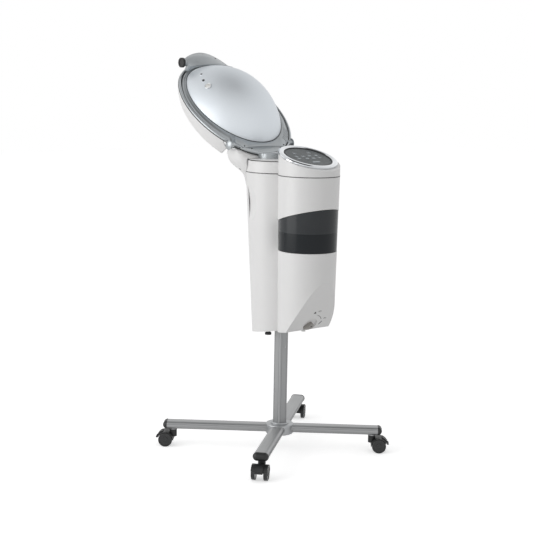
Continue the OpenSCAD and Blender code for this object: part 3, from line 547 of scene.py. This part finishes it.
# %% [markdown]
# ## The dome, bent from a grid
# The dome is the shape that people see first, so it has to be smooth. Its height follows a sine, its
# width follows a rounded power curve, and its top is drawn a little towards the post. The grid starts
# at the inner pole, runs down inside the wall, turns at the edge and climbs the outside to the pole.

# %% The dome recipe
DOME_ROWS, DOME_COLUMNS = 117, 160
DOME_MERGE = 0.00002
INNER_SIDE = -0.0001
rule = Recipe("dome_rule", half_width="Float", half_length="Float", height="Float", wall="Float")
grid = rule.node("GeometryNodeMeshGrid", {}, 1.0, 1.0, DOME_ROWS, DOME_COLUMNS)
spot = rule.node("GeometryNodeInputPosition")
along, across = (rule.node("ShaderNodeSeparateXYZ", {}, spot, out=axis) for axis in "XY")
climb = abs(along * 2)
wall = rule.given("wall") * (along < INNER_SIDE)
share = (climb * (math.pi / 2)).curve("SINE")
angle = (across + 0.5) * (2 * math.pi)
spread = (1 - share ** DOME_POWER).curve("MAXIMUM", 0) ** 0.5
sweep = share * DOME_SHIFT + (rule.given("half_length") - wall) * spread * angle.curve("SINE")
sideways = (rule.given("half_width") - wall) * spread * angle.curve("COSINE")
rise = (rule.given("height") - wall) * share - sweep * DOME_LEAN + DOME_FOOT
bent = rule.node("ShaderNodeCombineXYZ", {}, sideways, sweep + DOME_FORWARD, rise)
shell = rule.node("GeometryNodeSetPosition", {}, Geometry=grid, Position=bent)
shell = rule.node("GeometryNodeMergeByDistance", {}, Geometry=shell, Distance=DOME_MERGE)
shell = rule.node("GeometryNodeTransform", {}, Geometry=shell, Translation=tuple(HOOD_CENTRE),
                  Rotation=(HOOD_TILT, 0, 0))
rule.close(rule.node("GeometryNodeMeshBoolean", {"operation": "DIFFERENCE", "solver": "EXACT"},
                     Mesh_1=shell, Mesh_2=rule.given("source")))

# %% [markdown]
# The two vent slots and the lens bore are cut out of the dome, also by nodes: the recipe takes the
# cutters as its source and subtracts them from the grid. A vent is given by its share of the dome's
# height, its turn, its width and its length.

# %% Cut and grow the dome
VENTS = (((0.417, 137.6), 0.007, 0.011), ((0.461, 153.3), 0.008, 0.013))
LENS, LENS_BORE = (0.513, 167.6), 0.009
CUTTER_DEPTH, BORE_DEPTH = 0.020, 0.030
DOME_SHARP = 40


def plate_on_dome(work, place, size, sink=0.0):
    """A box that lies square on the dome, or below it."""
    sized = Matrix.Translation((0, 0, -sink)) @ Matrix.Diagonal((*size, 1))
    bmesh.ops.create_cube(work, size=1, matrix=dome_frame(*place) @ sized)


cutters = bmesh.new()
for place, width, length in VENTS:
    plate_on_dome(cutters, place, (width, length, CUTTER_DEPTH))
bmesh.ops.create_cone(cutters, cap_ends=True, segments=48, radius1=LENS_BORE, radius2=LENS_BORE,
                      depth=BORE_DEPTH, matrix=dome_frame(*LENS))
grow(rule, "dressed_hood_dome", new_object("dome_cutters", written_mesh("dome_cutters", cutters)), "hood",
     "silver_paint", DOME_SHARP, ("hood_dome",), half_width=DOME_HALF[0], half_length=DOME_HALF[1],
     height=DOME_HEIGHT, wall=DOME_WALL)

# %% [markdown]
# ## Beads along paths
# A seal, a trim wire and the line round a key are all a round bead that follows a path. The path is a
# mesh of points and edges, and the recipe turns it into a curve and sweeps a circle along it. A bevel
# on a curve object would do for one bead, but the recipe serves them all, with the radius as its input.

# %% The bead recipe
BEAD_SIDES = 8
bead = Recipe("bead_on_path", radius="Float")
path = bead.node("GeometryNodeMeshToCurve", {}, Mesh=bead.given("source"))
round_wire = bead.node("GeometryNodeCurvePrimitiveCircle", {}, Resolution=BEAD_SIDES,
                       Radius=bead.given("radius"))
bead.close(bead.node("GeometryNodeCurveToMesh", {}, Curve=path, Profile_Curve=round_wire, Fill_Caps=True))


def wire(name, lines, body, slot, radius, closed=True):
    """A bead along each list of points. A closed one joins its last point to its first."""
    points, edges = [], []
    for line in lines:
        first = len(points)
        points += [tuple(p) for p in line]
        edges += [(first + i, first + i + 1) for i in range(len(line) - 1)]
        if closed:
            edges.append((len(points) - 1, first))
    mesh = bpy.data.meshes.new(name + "_path")
    mesh.from_pydata(points, edges, [])
    grow(bead, name, new_object(name + "_path", mesh), body, slot, radius=radius)


# %% [markdown]
# The belt of the hood ring has a black bead in its groove, which is painted shade of the groove, a polished
# wire on its crest, and a black bead towards the white skirt, which is painted shade of the gap between ring
# and skirt. On the post's side of the pivot the ring belongs to the yoke, which stays with the body, so
# each bead is made in two stretches that ride on two bodies. A row gives a bead's name, its finish, its
# distance inside the rim, its height and its radius.

# %% Painted shade beads and trim of the hood ring
RING_SPLIT, YOKE_SPLIT = -0.2075, -0.2145
# The first and the third row are black beads that stand for painted shade: in the groove, and in the gap to
# the skirt.
BELT = (("ring_seal", "black_plastic", 0.00925, 0.0007, 0.00165),
        ("ring_trim", "bright_metal", 0.0050, 0.0033, 0.0008),
        ("ring_gasket", "black_plastic", 0.0004, -0.0049, 0.0013))
FRONT_STEPS, REAR_STEPS, EDGE_STEPS = 180, 40, 200
EDGE_GAP, EDGE_LIFT, EDGE_BEAD = 0.0008, 0.0002, 0.0010
for name, slot, inset, height, radius in BELT:
    reach = RING_HALF[1] - inset
    front_end, back_end = math.asin(RING_SPLIT / reach), math.asin(YOKE_SPLIT / reach)
    front = [front_end + (math.pi - 2 * front_end) * i / FRONT_STEPS for i in range(FRONT_STEPS + 1)]
    rear = [math.pi - back_end + (math.pi + 2 * back_end) * i / REAR_STEPS for i in range(REAR_STEPS + 1)]
    wire("hood_" + name, [[rim(inset, a, height) for a in front]], "hood", slot, radius, closed=False)
    wire("yoke_" + name, [[rim(inset, a, height) for a in rear]], "carriage", slot, radius, closed=False)

# A black bead round the edge of the dome is painted shade of the gap between the dome and the ring.
dome_edge = [AT_HOOD @ Vector(((DOME_HALF[0] + EDGE_GAP) * math.cos(a),
                               DOME_FORWARD + (DOME_HALF[1] + EDGE_GAP) * math.sin(a), DOME_FOOT + EDGE_LIFT))
             for a in (2 * math.pi * i / EDGE_STEPS for i in range(EDGE_STEPS))]
wire("dome_seal", [dome_edge], "hood", "black_plastic", EDGE_BEAD)

# %% [markdown]
# The vent slots have thin moulded rims and a dark dust screen, and the lens sits in a bright ring. The
# rims and the ring are loops in the dome's own tangent plane, and the screens are thin bevelled plates.
# One oval makes all the loops: where the cosine and the sine are raised to a power below 1, an
# ellipse grows corners.

# %% Rims and screens of the vents, and the lens ring
VENT_RIM, RIM_GAP, RIM_LIFT, RIM_BEND = 0.0009, 0.0009, 0.0003, 0.25
SCREEN_GAP, SCREEN_THICK, SCREEN_SINK, SCREEN_BEVEL = 0.0002, 0.0012, 0.0019, 0.0002
LENS_RING, LENS_RING_R, LENS_RING_LIFT = 0.0010, 0.0108, 0.0031


def oval(half_x, half_y, bend=1.0, count=40):
    """The points of a closed loop, from an ellipse (bend 1) to nearly a rectangle (bend near 0)."""
    turns = [(math.cos(2 * math.pi * i / count), math.sin(2 * math.pi * i / count)) for i in range(count)]
    return [(half_x * math.copysign(abs(c) ** bend, c), half_y * math.copysign(abs(s) ** bend, s))
            for c, s in turns]


def loop_on_dome(place, outline, lift):
    return [dome_frame(*place) @ Vector((x, y, lift)) for x, y in outline]


wire("vent_rims", [loop_on_dome(place, oval(width / 2 + RIM_GAP, length / 2 + RIM_GAP, RIM_BEND), RIM_LIFT)
                   for place, width, length in VENTS], "hood", "bright_metal", VENT_RIM)
screens = bmesh.new()
for place, width, length in VENTS:
    plate_on_dome(screens, place, (width - SCREEN_GAP, length - SCREEN_GAP, SCREEN_THICK), SCREEN_SINK)
bmesh.ops.bevel(screens, geom=screens.edges, offset=SCREEN_BEVEL, segments=1, affect="EDGES")
settle(new_object("vent_screens", written_mesh("vent_screens", screens)), "hood", "black_plastic")
wire("lens_ring", [loop_on_dome(LENS, oval(LENS_RING_R, LENS_RING_R), LENS_RING_LIFT)], "hood",
     "bright_metal", LENS_RING)

# %% [markdown]
# A black bead in the parting line between the top cap and the casing is painted shade of the seam. The
# line runs round both lobes of the body, so its path is two arcs that meet where the lobes cross. A lobe
# is given by the place of its centre and the side that it faces.

# %% Painted shade along the parting line
SEAM_Z, SEAM_R, SEAM_BEAD, SEAM_STEPS = 0.9457, 0.0996, 0.0014, 96
LOBES = ((-0.126, -1), (0.046, 1))
WAIST_Y = (LOBES[0][0] + LOBES[1][0]) / 2
seam = []
for centre, side in LOBES:
    start = math.asin(abs(WAIST_Y - centre) / SEAM_R)
    for i in range(SEAM_STEPS + 1):
        turn = start - (math.pi + 2 * start) * i / SEAM_STEPS
        seam.append((-side * SEAM_R * math.cos(turn), centre - side * SEAM_R * math.sin(turn), SEAM_Z))
# The bead is black, as painted shade in the seam between cap and casing.
wire("cap_gasket", [seam], "carriage", "black_plastic", SEAM_BEAD)

# %% [markdown]
# ## The control panel
# The panel is a disc that leans towards the operator. Places on it are given in millimetres across, up
# the slope and above its face. A dark seal separates it from the bright ring, and each key has a fine
# light outline.

# %% Panel seal and key outlines
KEYS = ((-43, -8), (43, -8), (-13, -13), (13, -13), (-41, 9), (-13, 9), (13, 9), (41, 9), (-30, 36), (30, 36))
START_KEY = (0, -44)
KEY_HALF, START_HALF, KEY_BEND = (7.4, 5.2), (17.0, 5.8), 0.7
SEAL_R, SEAL_LIFT, SEAL_BEAD, SEAL_STEPS = 79.4, -2.0, 0.0018, 128
OUTLINE_LIFT, OUTLINE_BEAD = -2.6, 0.00032
MM = 1000


def on_panel(across, along, lift):
    """A place on the panel, from millimetres across and along it."""
    flat = Vector(PANEL_CENTRE) + Vector((across / MM, 0, 0)) + PANEL_AWAY * (along / MM)
    return flat + PANEL_UP * (lift / MM)


def key_outline(key, half):
    return [on_panel(key[0] + x, key[1] + y, OUTLINE_LIFT) for x, y in oval(*half, KEY_BEND)]


seal_loop = [on_panel(x, y, SEAL_LIFT) for x, y in oval(SEAL_R, SEAL_R, count=SEAL_STEPS)]
wire("panel_seal", [seal_loop], "carriage", "black_plastic", SEAL_BEAD)
outlines = [key_outline(key, KEY_HALF) for key in KEYS] + [key_outline(START_KEY, START_HALF)]
wire("key_outlines", outlines, "carriage", "key_light", OUTLINE_BEAD)

# %% [markdown]
# ## One shape on many places
# Screws, jets, lamps and printed bars are one small shape each, put on many places. The recipe turns
# every copy so that it stands along an arrow that is stored with its place. Where a place has to sit
# on a surface, a ray is sent at the packed part, and the copy lands where the ray does.

# %% The stud recipe, and rays that find a surface
studs = Recipe("studs_on_places", shape="Object", size="Float")
arrow = studs.node("GeometryNodeInputNamedAttribute", {"data_type": "FLOAT_VECTOR"}, Name="facing")
turned = studs.node("FunctionNodeAlignRotationToVector", {"axis": "Z"}, Vector=arrow)
model = studs.node("GeometryNodeObjectInfo", {}, Object=studs.given("shape"), out="Geometry")
studs.close(studs.node("GeometryNodeInstanceOnPoints", {}, Points=studs.given("source"), Instance=model,
                       Rotation=turned, Scale=studs.given("size")))
trees = {}


def landing(node, start, aim):
    """Where a ray meets a packed part, and the way that its surface faces there."""
    if node not in trees:
        mesh = nodes[node].data
        trees[node] = BVHTree.FromPolygons([v.co for v in mesh.vertices], [p.vertices for p in mesh.polygons])
    spot, normal, _, _ = trees[node].ray_cast(Vector(start), Vector(aim).normalized())
    return spot, normal


def place_studs(name, places, body, slot, shape, size):
    """Copies of a shape, on places that are each given with the way they face."""
    mesh = bpy.data.meshes.new(name + "_places")
    mesh.from_pydata([tuple(spot) for spot, _ in places], [], [])
    facing = mesh.attributes.new("facing", "FLOAT_VECTOR", "POINT")
    for index, (_, normal) in enumerate(places):
        facing.data[index].vector = normal
    grow(studs, name, new_object(name + "_places", mesh), body, slot, shape=shape, size=size)


# %% [markdown]
# The shapes are unit size. A jet is a ring, a lamp is a low button and a bar is a thin printed strip.
# They are turned from a profile, like work on a lathe, with few faces, because a copy of each stands
# in many places. A bar is turned with four sides and stretched.

# %% Turned shapes
TURNED_MERGE = 0.0001
BAR_STRETCH = (3.2, 0.55, 1, 1)


def turned_shape(name, profile, sides=20):
    """A closed body of revolution from (radius, height) pairs. A radius of nought closes an end."""
    work = bmesh.new()
    for (r1, z1), (r2, z2) in zip(profile, profile[1:]):
        for i in range(sides):
            a, b = (2 * math.pi * k / sides for k in (i, i + 1))
            ring = [(r1 * math.cos(a), r1 * math.sin(a), z1), (r1 * math.cos(b), r1 * math.sin(b), z1),
                    (r2 * math.cos(b), r2 * math.sin(b), z2), (r2 * math.cos(a), r2 * math.sin(a), z2)]
            work.faces.new([work.verts.new(p) for p in ring])
    bmesh.ops.remove_doubles(work, verts=work.verts, dist=TURNED_MERGE)
    bmesh.ops.dissolve_degenerate(work, edges=work.edges, dist=TURNED_MERGE)
    bmesh.ops.recalc_face_normals(work, faces=work.faces)
    return bpy.data.objects.new(name, written_mesh(name, work))


button = turned_shape("button_shape", [(0, -0.3), (0.95, -0.3), (1, 0.1), (0.85, 0.3), (0.5, 0.42),
                                       (0, 0.46)])
jet = turned_shape("jet_shape", [(0.55, -0.6), (1, -0.6), (1, 0.5), (0.85, 0.65), (0.6, 0.65), (0.5, 0.4),
                                 (0.5, -0.5), (0.55, -0.6)], sides=16)
bar = turned_shape("bar_shape", [(0, -0.2), (1, -0.2), (1, 0.1), (0, 0.12)], sides=4)
bar.data.transform(Matrix.Diagonal(BAR_STRETCH) @ Matrix.Rotation(math.pi / 4, 4, "Z"))
print("turned shapes:", button.name, jet.name, bar.name)

# %% [markdown]
# A screw head is a low drum with a rounded edge and a cross-shaped recess. Its faces bridge from one
# ring of points to the next, and the last two rings have the outline of the cross.

# %% Screw head
SCREW_SIDES = 24
SCREW_DRUM = ((0.95, -0.3), (1.0, 0.1), (0.92, 0.34), (0.78, 0.42))
CROSS_HEIGHTS = (0.44, 0.08)


def screw_shape():
    arm, half = 0.62, 0.16
    cross = [(half, arm), (-half, arm), (-half, half), (-arm, half), (-arm, -half), (-half, -half),
             (-half, -arm), (half, -arm), (half, -half), (arm, -half), (arm, half), (half, half)]
    turns = [2 * math.pi * i / SCREW_SIDES for i in range(SCREW_SIDES)]
    work = bmesh.new()
    rings = [[work.verts.new((radius * math.cos(a), radius * math.sin(a), height)) for a in turns]
             for radius, height in SCREW_DRUM]
    rings += [[work.verts.new((x, y, z)) for x, y in cross] for z in CROSS_HEIGHTS]
    edges = [[work.edges.new((ring[i - 1], ring[i])) for i in range(len(ring))] for ring in rings]
    for low, high in zip(edges, edges[1:]):
        bmesh.ops.bridge_loops(work, edges=low + high)
    work.faces.new(rings[0])
    work.faces.new(rings[-1])
    bmesh.ops.recalc_face_normals(work, faces=work.faces)
    return bpy.data.objects.new("screw_shape", written_mesh("screw_shape", work))


screw = screw_shape()
print("screw head", len(screw.data.polygons), "faces")

# %% [markdown]
# ## Screws and jets
# The covers are screwed on from behind and from below, and dark screws hold the belt of the hood. Each
# screw lands on its cover by a ray, so it sits on the real surface and not on a typed height. The mist
# leaves the nozzle ring through brass jets, evenly spaced on its underside.

# %% Screw the covers on and fit the jets
UP, FORWARD = (0, 0, 1), (0, -1, 0)
COVER_SCREW, HUB_SCREW, SMALL_SCREW = 0.0034, 0.0045, 0.0026
REAR_X, REAR_Z, REAR_START = (-0.055, 0.055), (0.47, 0.70, 0.91), 0.4
BOTTOM_X, BOTTOM_Y, BOTTOM_START = (-0.06, 0.06), (-0.10, 0.075), 0.3
HUB_XY = (-0.017, 0.017)
BELT_SCREW_INSET, BELT_START = 0.0165, 0.05
RING_SCREW_TURN, YOKE_SCREW_TURN = 28.6, 20.5
JETS, JET_CIRCLE, JET_DEPTH, JET_SIZE = 24, 0.112, -0.0008, 0.0031
HOOD_UP = AT_HOOD.to_3x3() @ Vector(UP)

rear = [landing("rear_cover", (x, REAR_START, z), FORWARD) for x in REAR_X for z in REAR_Z]
bottom = [landing("bottom_cover", (x, y, BOTTOM_START), UP) for x in BOTTOM_X for y in BOTTOM_Y]
hub = [landing("base_hub_lower", (x, y, 0.0), UP) for x in HUB_XY for y in HUB_XY]
place_studs("rear_screws", rear, "carriage", "steel", screw, COVER_SCREW)
place_studs("bottom_screws", bottom, "carriage", "steel", screw, COVER_SCREW)
place_studs("hub_screws", hub, "base", "steel", screw, HUB_SCREW)


def belt_screws(node, degrees):
    """Two places on the belt, the same turn to each side of its end at the post."""
    starts = [rim(BELT_SCREW_INSET, math.radians(-90 + side * degrees), BELT_START) for side in (-1, 1)]
    return [landing(node, start, -HOOD_UP) for start in starts]


on_ring, on_yoke = belt_screws("hood_ring", RING_SCREW_TURN), belt_screws("yoke", YOKE_SCREW_TURN)
place_studs("ring_screws", on_ring, "hood", "knob_black", screw, SMALL_SCREW)
place_studs("yoke_screws", on_yoke, "carriage", "knob_black", screw, SMALL_SCREW)
jet_places = []
for i in range(JETS):
    spin = 2 * math.pi * i / JETS
    spot = AT_HOOD @ Vector((JET_CIRCLE * math.cos(spin), JET_CIRCLE * math.sin(spin), JET_DEPTH))
    jet_places.append((spot, -HOOD_UP))
place_studs("mist_jets", jet_places, "hood", "brass", jet, JET_SIZE)

# %% [markdown]
# ## Bars and lamps of the panel
# A short printed bar stands above each key, and a small lamp below each of the last six. The real
# symbols are too small to read in the photograph, so plain bars stand in for them.

# %% Print the bars and set the lamps
BAR_AHEAD, BAR_LIFT, BAR_SIZE = 7.6, -2.68, 0.0008
LAMP_BEHIND, LAMP_LIFT, LAMP_SIZE = -7.8, -2.75, 0.0011
FIRST_LAMP = 4
bars = [(on_panel(x, y + BAR_AHEAD, BAR_LIFT), PANEL_UP) for x, y in KEYS]
lamps = [(on_panel(x, y + LAMP_BEHIND, LAMP_LIFT), PANEL_UP) for x, y in KEYS[FIRST_LAMP:]]
place_studs("panel_bars", bars, "carriage", "key_light", bar, BAR_SIZE)
place_studs("panel_lamps", lamps, "carriage", "key_light", button, LAMP_SIZE)

# %% [markdown]
# ## Marks found by sight
# A few small marks are placed where the photograph shows them. The pixel gives the line of sight, and
# the mark lands on the packed part behind it: a black button on the cap beside the bright ring, the
# small catch on the visor, and a dark screw in the neck cover.

# %% Marks found by sight
CAP_BUTTON_PIXEL, VISOR_CATCH_PIXEL, NECK_SCREW_PIXEL = (284.0, 155.5), (215.4, 58.6), (240.0, 169.0)
BUTTON_SIZE, CATCH_SIZE = 0.0030, 0.0032
EYE = camera.matrix_world.translation


def sight(pixel):
    """The direction from the camera through a pixel of the photograph."""
    across, down = ((p - IMAGE_SIDE / 2) / FOCAL_PIXELS for p in pixel)
    return camera_right * across - camera_up * down - camera_back


for name, node, pixel, shape, size in (("cap_button", "top_cap", CAP_BUTTON_PIXEL, button, BUTTON_SIZE),
                                       ("visor_catch", "hood_visor", VISOR_CATCH_PIXEL, button, CATCH_SIZE),
                                       ("neck_screw", "neck_cover", NECK_SCREW_PIXEL, screw, SMALL_SCREW)):
    place_studs(name, [landing(node, EYE, sight(pixel))], body_of[node], "knob_black", shape, size)

# %% [markdown]
# ## The two knobs
# The drain knob has a dark screw in its face. It sits where the nose of the casing is cut to a
# cylinder, so its place is an angle and a distance on that cylinder. The visor knob has a silver sleeve
# with two ridges between its black grip and the visor. The sleeve fits round the neck of the packed
# knob, so its axis is read from that part.

# %% Screw of the drain knob and sleeve of the visor knob
NOSE_CENTRE, NOSE_R = (0.360, 0.795), 0.610
KNOB_DEGREES, KNOB_REACH, KNOB_SCREW = 33.7, 0.0062, 0.0029
SLEEVE_R, SLEEVE_X = 0.0116, -0.1097
SLEEVE_HALF = ((0.96, -0.44), (1, -0.44), (1.05, -0.36), (1.05, -0.12), (1, -0.05))
knob_turn = math.radians(KNOB_DEGREES)
knob_out = Vector((0, -math.cos(knob_turn), -math.sin(knob_turn)))
knob_face = Vector((0, *NOSE_CENTRE)) + knob_out * (NOSE_R + KNOB_REACH)
place_studs("knob_screw", [(knob_face, knob_out)], body_of["drain_knob"], "knob_black", screw, KNOB_SCREW)

grip = [AT_HOOD.inverted() @ v.co for v in nodes["visor_knobs"].data.vertices]
middle = Vector((SLEEVE_X, *((min(v[i] for v in grip) + max(v[i] for v in grip)) / 2 for i in (1, 2))))
mirrored_half = [(radius, -height) for radius, height in SLEEVE_HALF[::-1]]
sleeve = turned_shape("sleeve_shape", [*SLEEVE_HALF, *mirrored_half, SLEEVE_HALF[0]], sides=48)
sleeve_place = (AT_HOOD @ middle, AT_HOOD.to_3x3() @ Vector((-1, 0, 0)))
place_studs("knob_sleeve", [sleeve_place], body_of["visor_knobs"], "silver_plastic", sleeve, SLEEVE_R)

# %% [markdown]
# ## Prints beside the drain knob
# The knob turns between shut and open. A small triangle, an arc and a bar show the way, with the two
# plain words for it. They could be painted by the material, but thin raised prints keep a sharp edge
# and are in the mesh as well. They are drawn flat in millimetres, with the nose unrolled: a place is
# given by millimetres across and degrees down the cylinder.

# %% Flat prints
PRINT_THICK = 0.12


def on_nose(across, degrees):
    return across, -math.radians(degrees) * NOSE_R * MM


def flat_print(work, outline):
    """A thin plate with this outline, in millimetres."""
    low, high = ([work.verts.new((x, y, z)) for x, y in outline] for z in (0, PRINT_THICK))
    work.faces.new(low[::-1])
    work.faces.new(high)
    for i in range(len(outline)):
        work.faces.new((low[i - 1], low[i], high[i], high[i - 1]))


def word(text, place, height):
    """The mesh of a printed word, set flat in millimetres."""
    curve = bpy.data.curves.new("print_" + text, "FONT")
    curve.body, curve.size, curve.extrude = text, height, PRINT_THICK / 2
    holder = new_object("print_" + text, curve)
    mesh = bpy.data.meshes.new_from_object(holder.evaluated_get(bpy.context.evaluated_depsgraph_get()))
    bpy.data.objects.remove(holder)
    mesh.transform(Matrix.Translation((*place, PRINT_THICK / 2)))
    return mesh


print("the knob is", round(-on_nose(0, KNOB_DEGREES)[1]), "mm down the nose")

# %% [markdown]
# The drawing is then rolled on to the nose: the distance down the sheet becomes an angle, and the
# height above it is added to the cylinder's radius.

# %% Draw the prints and roll them on to the nose
TIP, TIP_HALF, TIP_LENGTH = (-1.5, 28.2), 5.5, 9.0
ARC_R, ARC_HALF, ARC_FROM, ARC_SWEEP, ARC_STEPS = 43, 0.8, 72, 42, 12
BAR_CORNERS = ((36.0, 33.7), (44.6, 32.5), (46.6, 32.8), (38.0, 34.0))
WORDS, WORD_SIZE = (("OFF", (10.5, 28.6)), ("ON", (46.5, 31.7))), 7.5
plates = bmesh.new()
tip_x, tip_y = on_nose(*TIP)
flat_print(plates, [(tip_x, tip_y), (tip_x - TIP_HALF, tip_y - TIP_LENGTH),
                    (tip_x + TIP_HALF, tip_y - TIP_LENGTH)])
arc_x, arc_y = on_nose(0, KNOB_DEGREES)
for i in range(ARC_STEPS):
    near, far = (math.radians(ARC_FROM - ARC_SWEEP * k / ARC_STEPS) for k in (i, i + 1))
    corners = ((-ARC_HALF, near), (-ARC_HALF, far), (ARC_HALF, far), (ARC_HALF, near))
    flat_print(plates, [(arc_x + (ARC_R + k) * math.cos(a), arc_y + (ARC_R + k) * math.sin(a))
                        for k, a in corners])
flat_print(plates, [on_nose(*corner) for corner in BAR_CORNERS])
for text, place in WORDS:
    plates.from_mesh(word(text, on_nose(*place), WORD_SIZE))
for vertex in plates.verts:
    x, y, z = vertex.co
    angle, radius = -y / (NOSE_R * MM), NOSE_R + z / MM
    vertex.co = (x / MM, NOSE_CENTRE[0] - radius * math.cos(angle), NOSE_CENTRE[1] - radius * math.sin(angle))
prints = new_object("drain_prints", written_mesh("drain_prints", plates))
settle(prints, "carriage", "knob_black")
print("prints", len(prints.data.polygons), "faces")

# %% [markdown]
# ## Floor
# The product stands on a white sweep. The floor is a real pale surface, which keeps the shadows under
# the casters. It adds a little white of its own, but only for the camera and for reflections, so it
# reads as white paper and doesn't light the product.

# %% Lay the floor
FLOOR_REACH = 14
FLOOR_SEEN, FLOOR_MIRRORED = 0.52, 0.2


def kinds_of_ray(graph):
    """Two masks: rays from the camera, and rays off a gloss surface or through glass."""
    seen, glossy, through = (graph.node("ShaderNodeLightPath", out=name)
                             for name in ("Is Camera Ray", "Is Glossy Ray", "Is Transmission Ray"))
    return seen, glossy.curve("MAXIMUM", through)


bpy.context.scene.view_settings.view_transform = "Standard"
floor_mesh = bpy.data.meshes.new("floor")
corners = [(FLOOR_REACH * x, FLOOR_REACH * y, 0) for x, y in ((-1, -1), (1, -1), (1, 1), (-1, 1))]
floor_mesh.from_pydata(corners, [], [(0, 1, 2, 3)])
floor = new_object("floor", floor_mesh)
paper = Finish("floor_paper", Base_Color=grey(0.86), Roughness=0.9, Emission_Strength=1.0)
seen, mirrored = kinds_of_ray(paper)
floor_mesh.materials.append(paper.feed(Emission_Color=seen * FLOOR_SEEN + mirrored * FLOOR_MIRRORED))
print("floor", FLOOR_REACH * 2, "m across")

# %% [markdown]
# ## World
# The world is white to the camera. In reflections it is white at the sides and darker overhead, as in
# a studio with a dark ceiling. A small dark flag hangs straight above, which shows in gloss slopes
# that face the camera at about half a right angle. As a light the world is plain and weaker.

# %% Light from all round
WORLD_MIRRORED, WORLD_LIGHT = 0.95, 0.56
CEILING_FROM, CEILING_TO, CEILING_LEFT = 0.40, 0.92, 0.74
FLAG_EDGE, FLAG_LEFT = 0.94, 0.12
world = bpy.data.worlds.new("studio")
bpy.context.scene.world = world
world.use_nodes = True
sky = Graph(world.node_tree)
backdrop = world.node_tree.nodes["Background"]
seen, mirrored = kinds_of_ray(sky)
looking = sky.node("ShaderNodeSeparateXYZ", {}, sky.node("ShaderNodeTexCoord", out="Generated"), out="Z")
ceiling = sky.ramp(looking, CEILING_FROM, CEILING_TO, 1.0, CEILING_LEFT)
flag = sky.ramp(looking, CEILING_TO, FLAG_EDGE, 1.0, FLAG_LEFT)
strength = seen + (1 - seen) * (mirrored * ceiling * flag * WORLD_MIRRORED + (1 - mirrored) * WORLD_LIGHT)
world.node_tree.links.new(strength.socket, backdrop.inputs["Strength"])
backdrop.inputs["Color"].default_value = grey(1)
print("world nodes:", len(world.node_tree.nodes))

# %% [markdown]
# ## Lamps
# A large soft lamp stands at the left, and a weak one in front takes the edge off the shadows. Both
# aim at the middle of the product.

# %% Set the lamps
AIM = (0, 0.05, 0.8)
LAMP_WIDTH = 2.6


def lamp(name, where, power):
    light = bpy.data.lights.new(name, "AREA")
    light.shape, light.size, light.energy = "SQUARE", LAMP_WIDTH, power
    thing = new_object(name, light)
    thing.location = where
    thing.rotation_euler = (Vector(AIM) - Vector(where)).to_track_quat("-Z", "Y").to_euler()


lamp("key_left", (-2.9, 0.75, 1.5), 38)
lamp("fill_front", (-0.6, -3.8, 2.2), 3)
print("studio ready")

# %% [markdown]
# ## Finish
# The visual model has to stay inside the packed model's box.
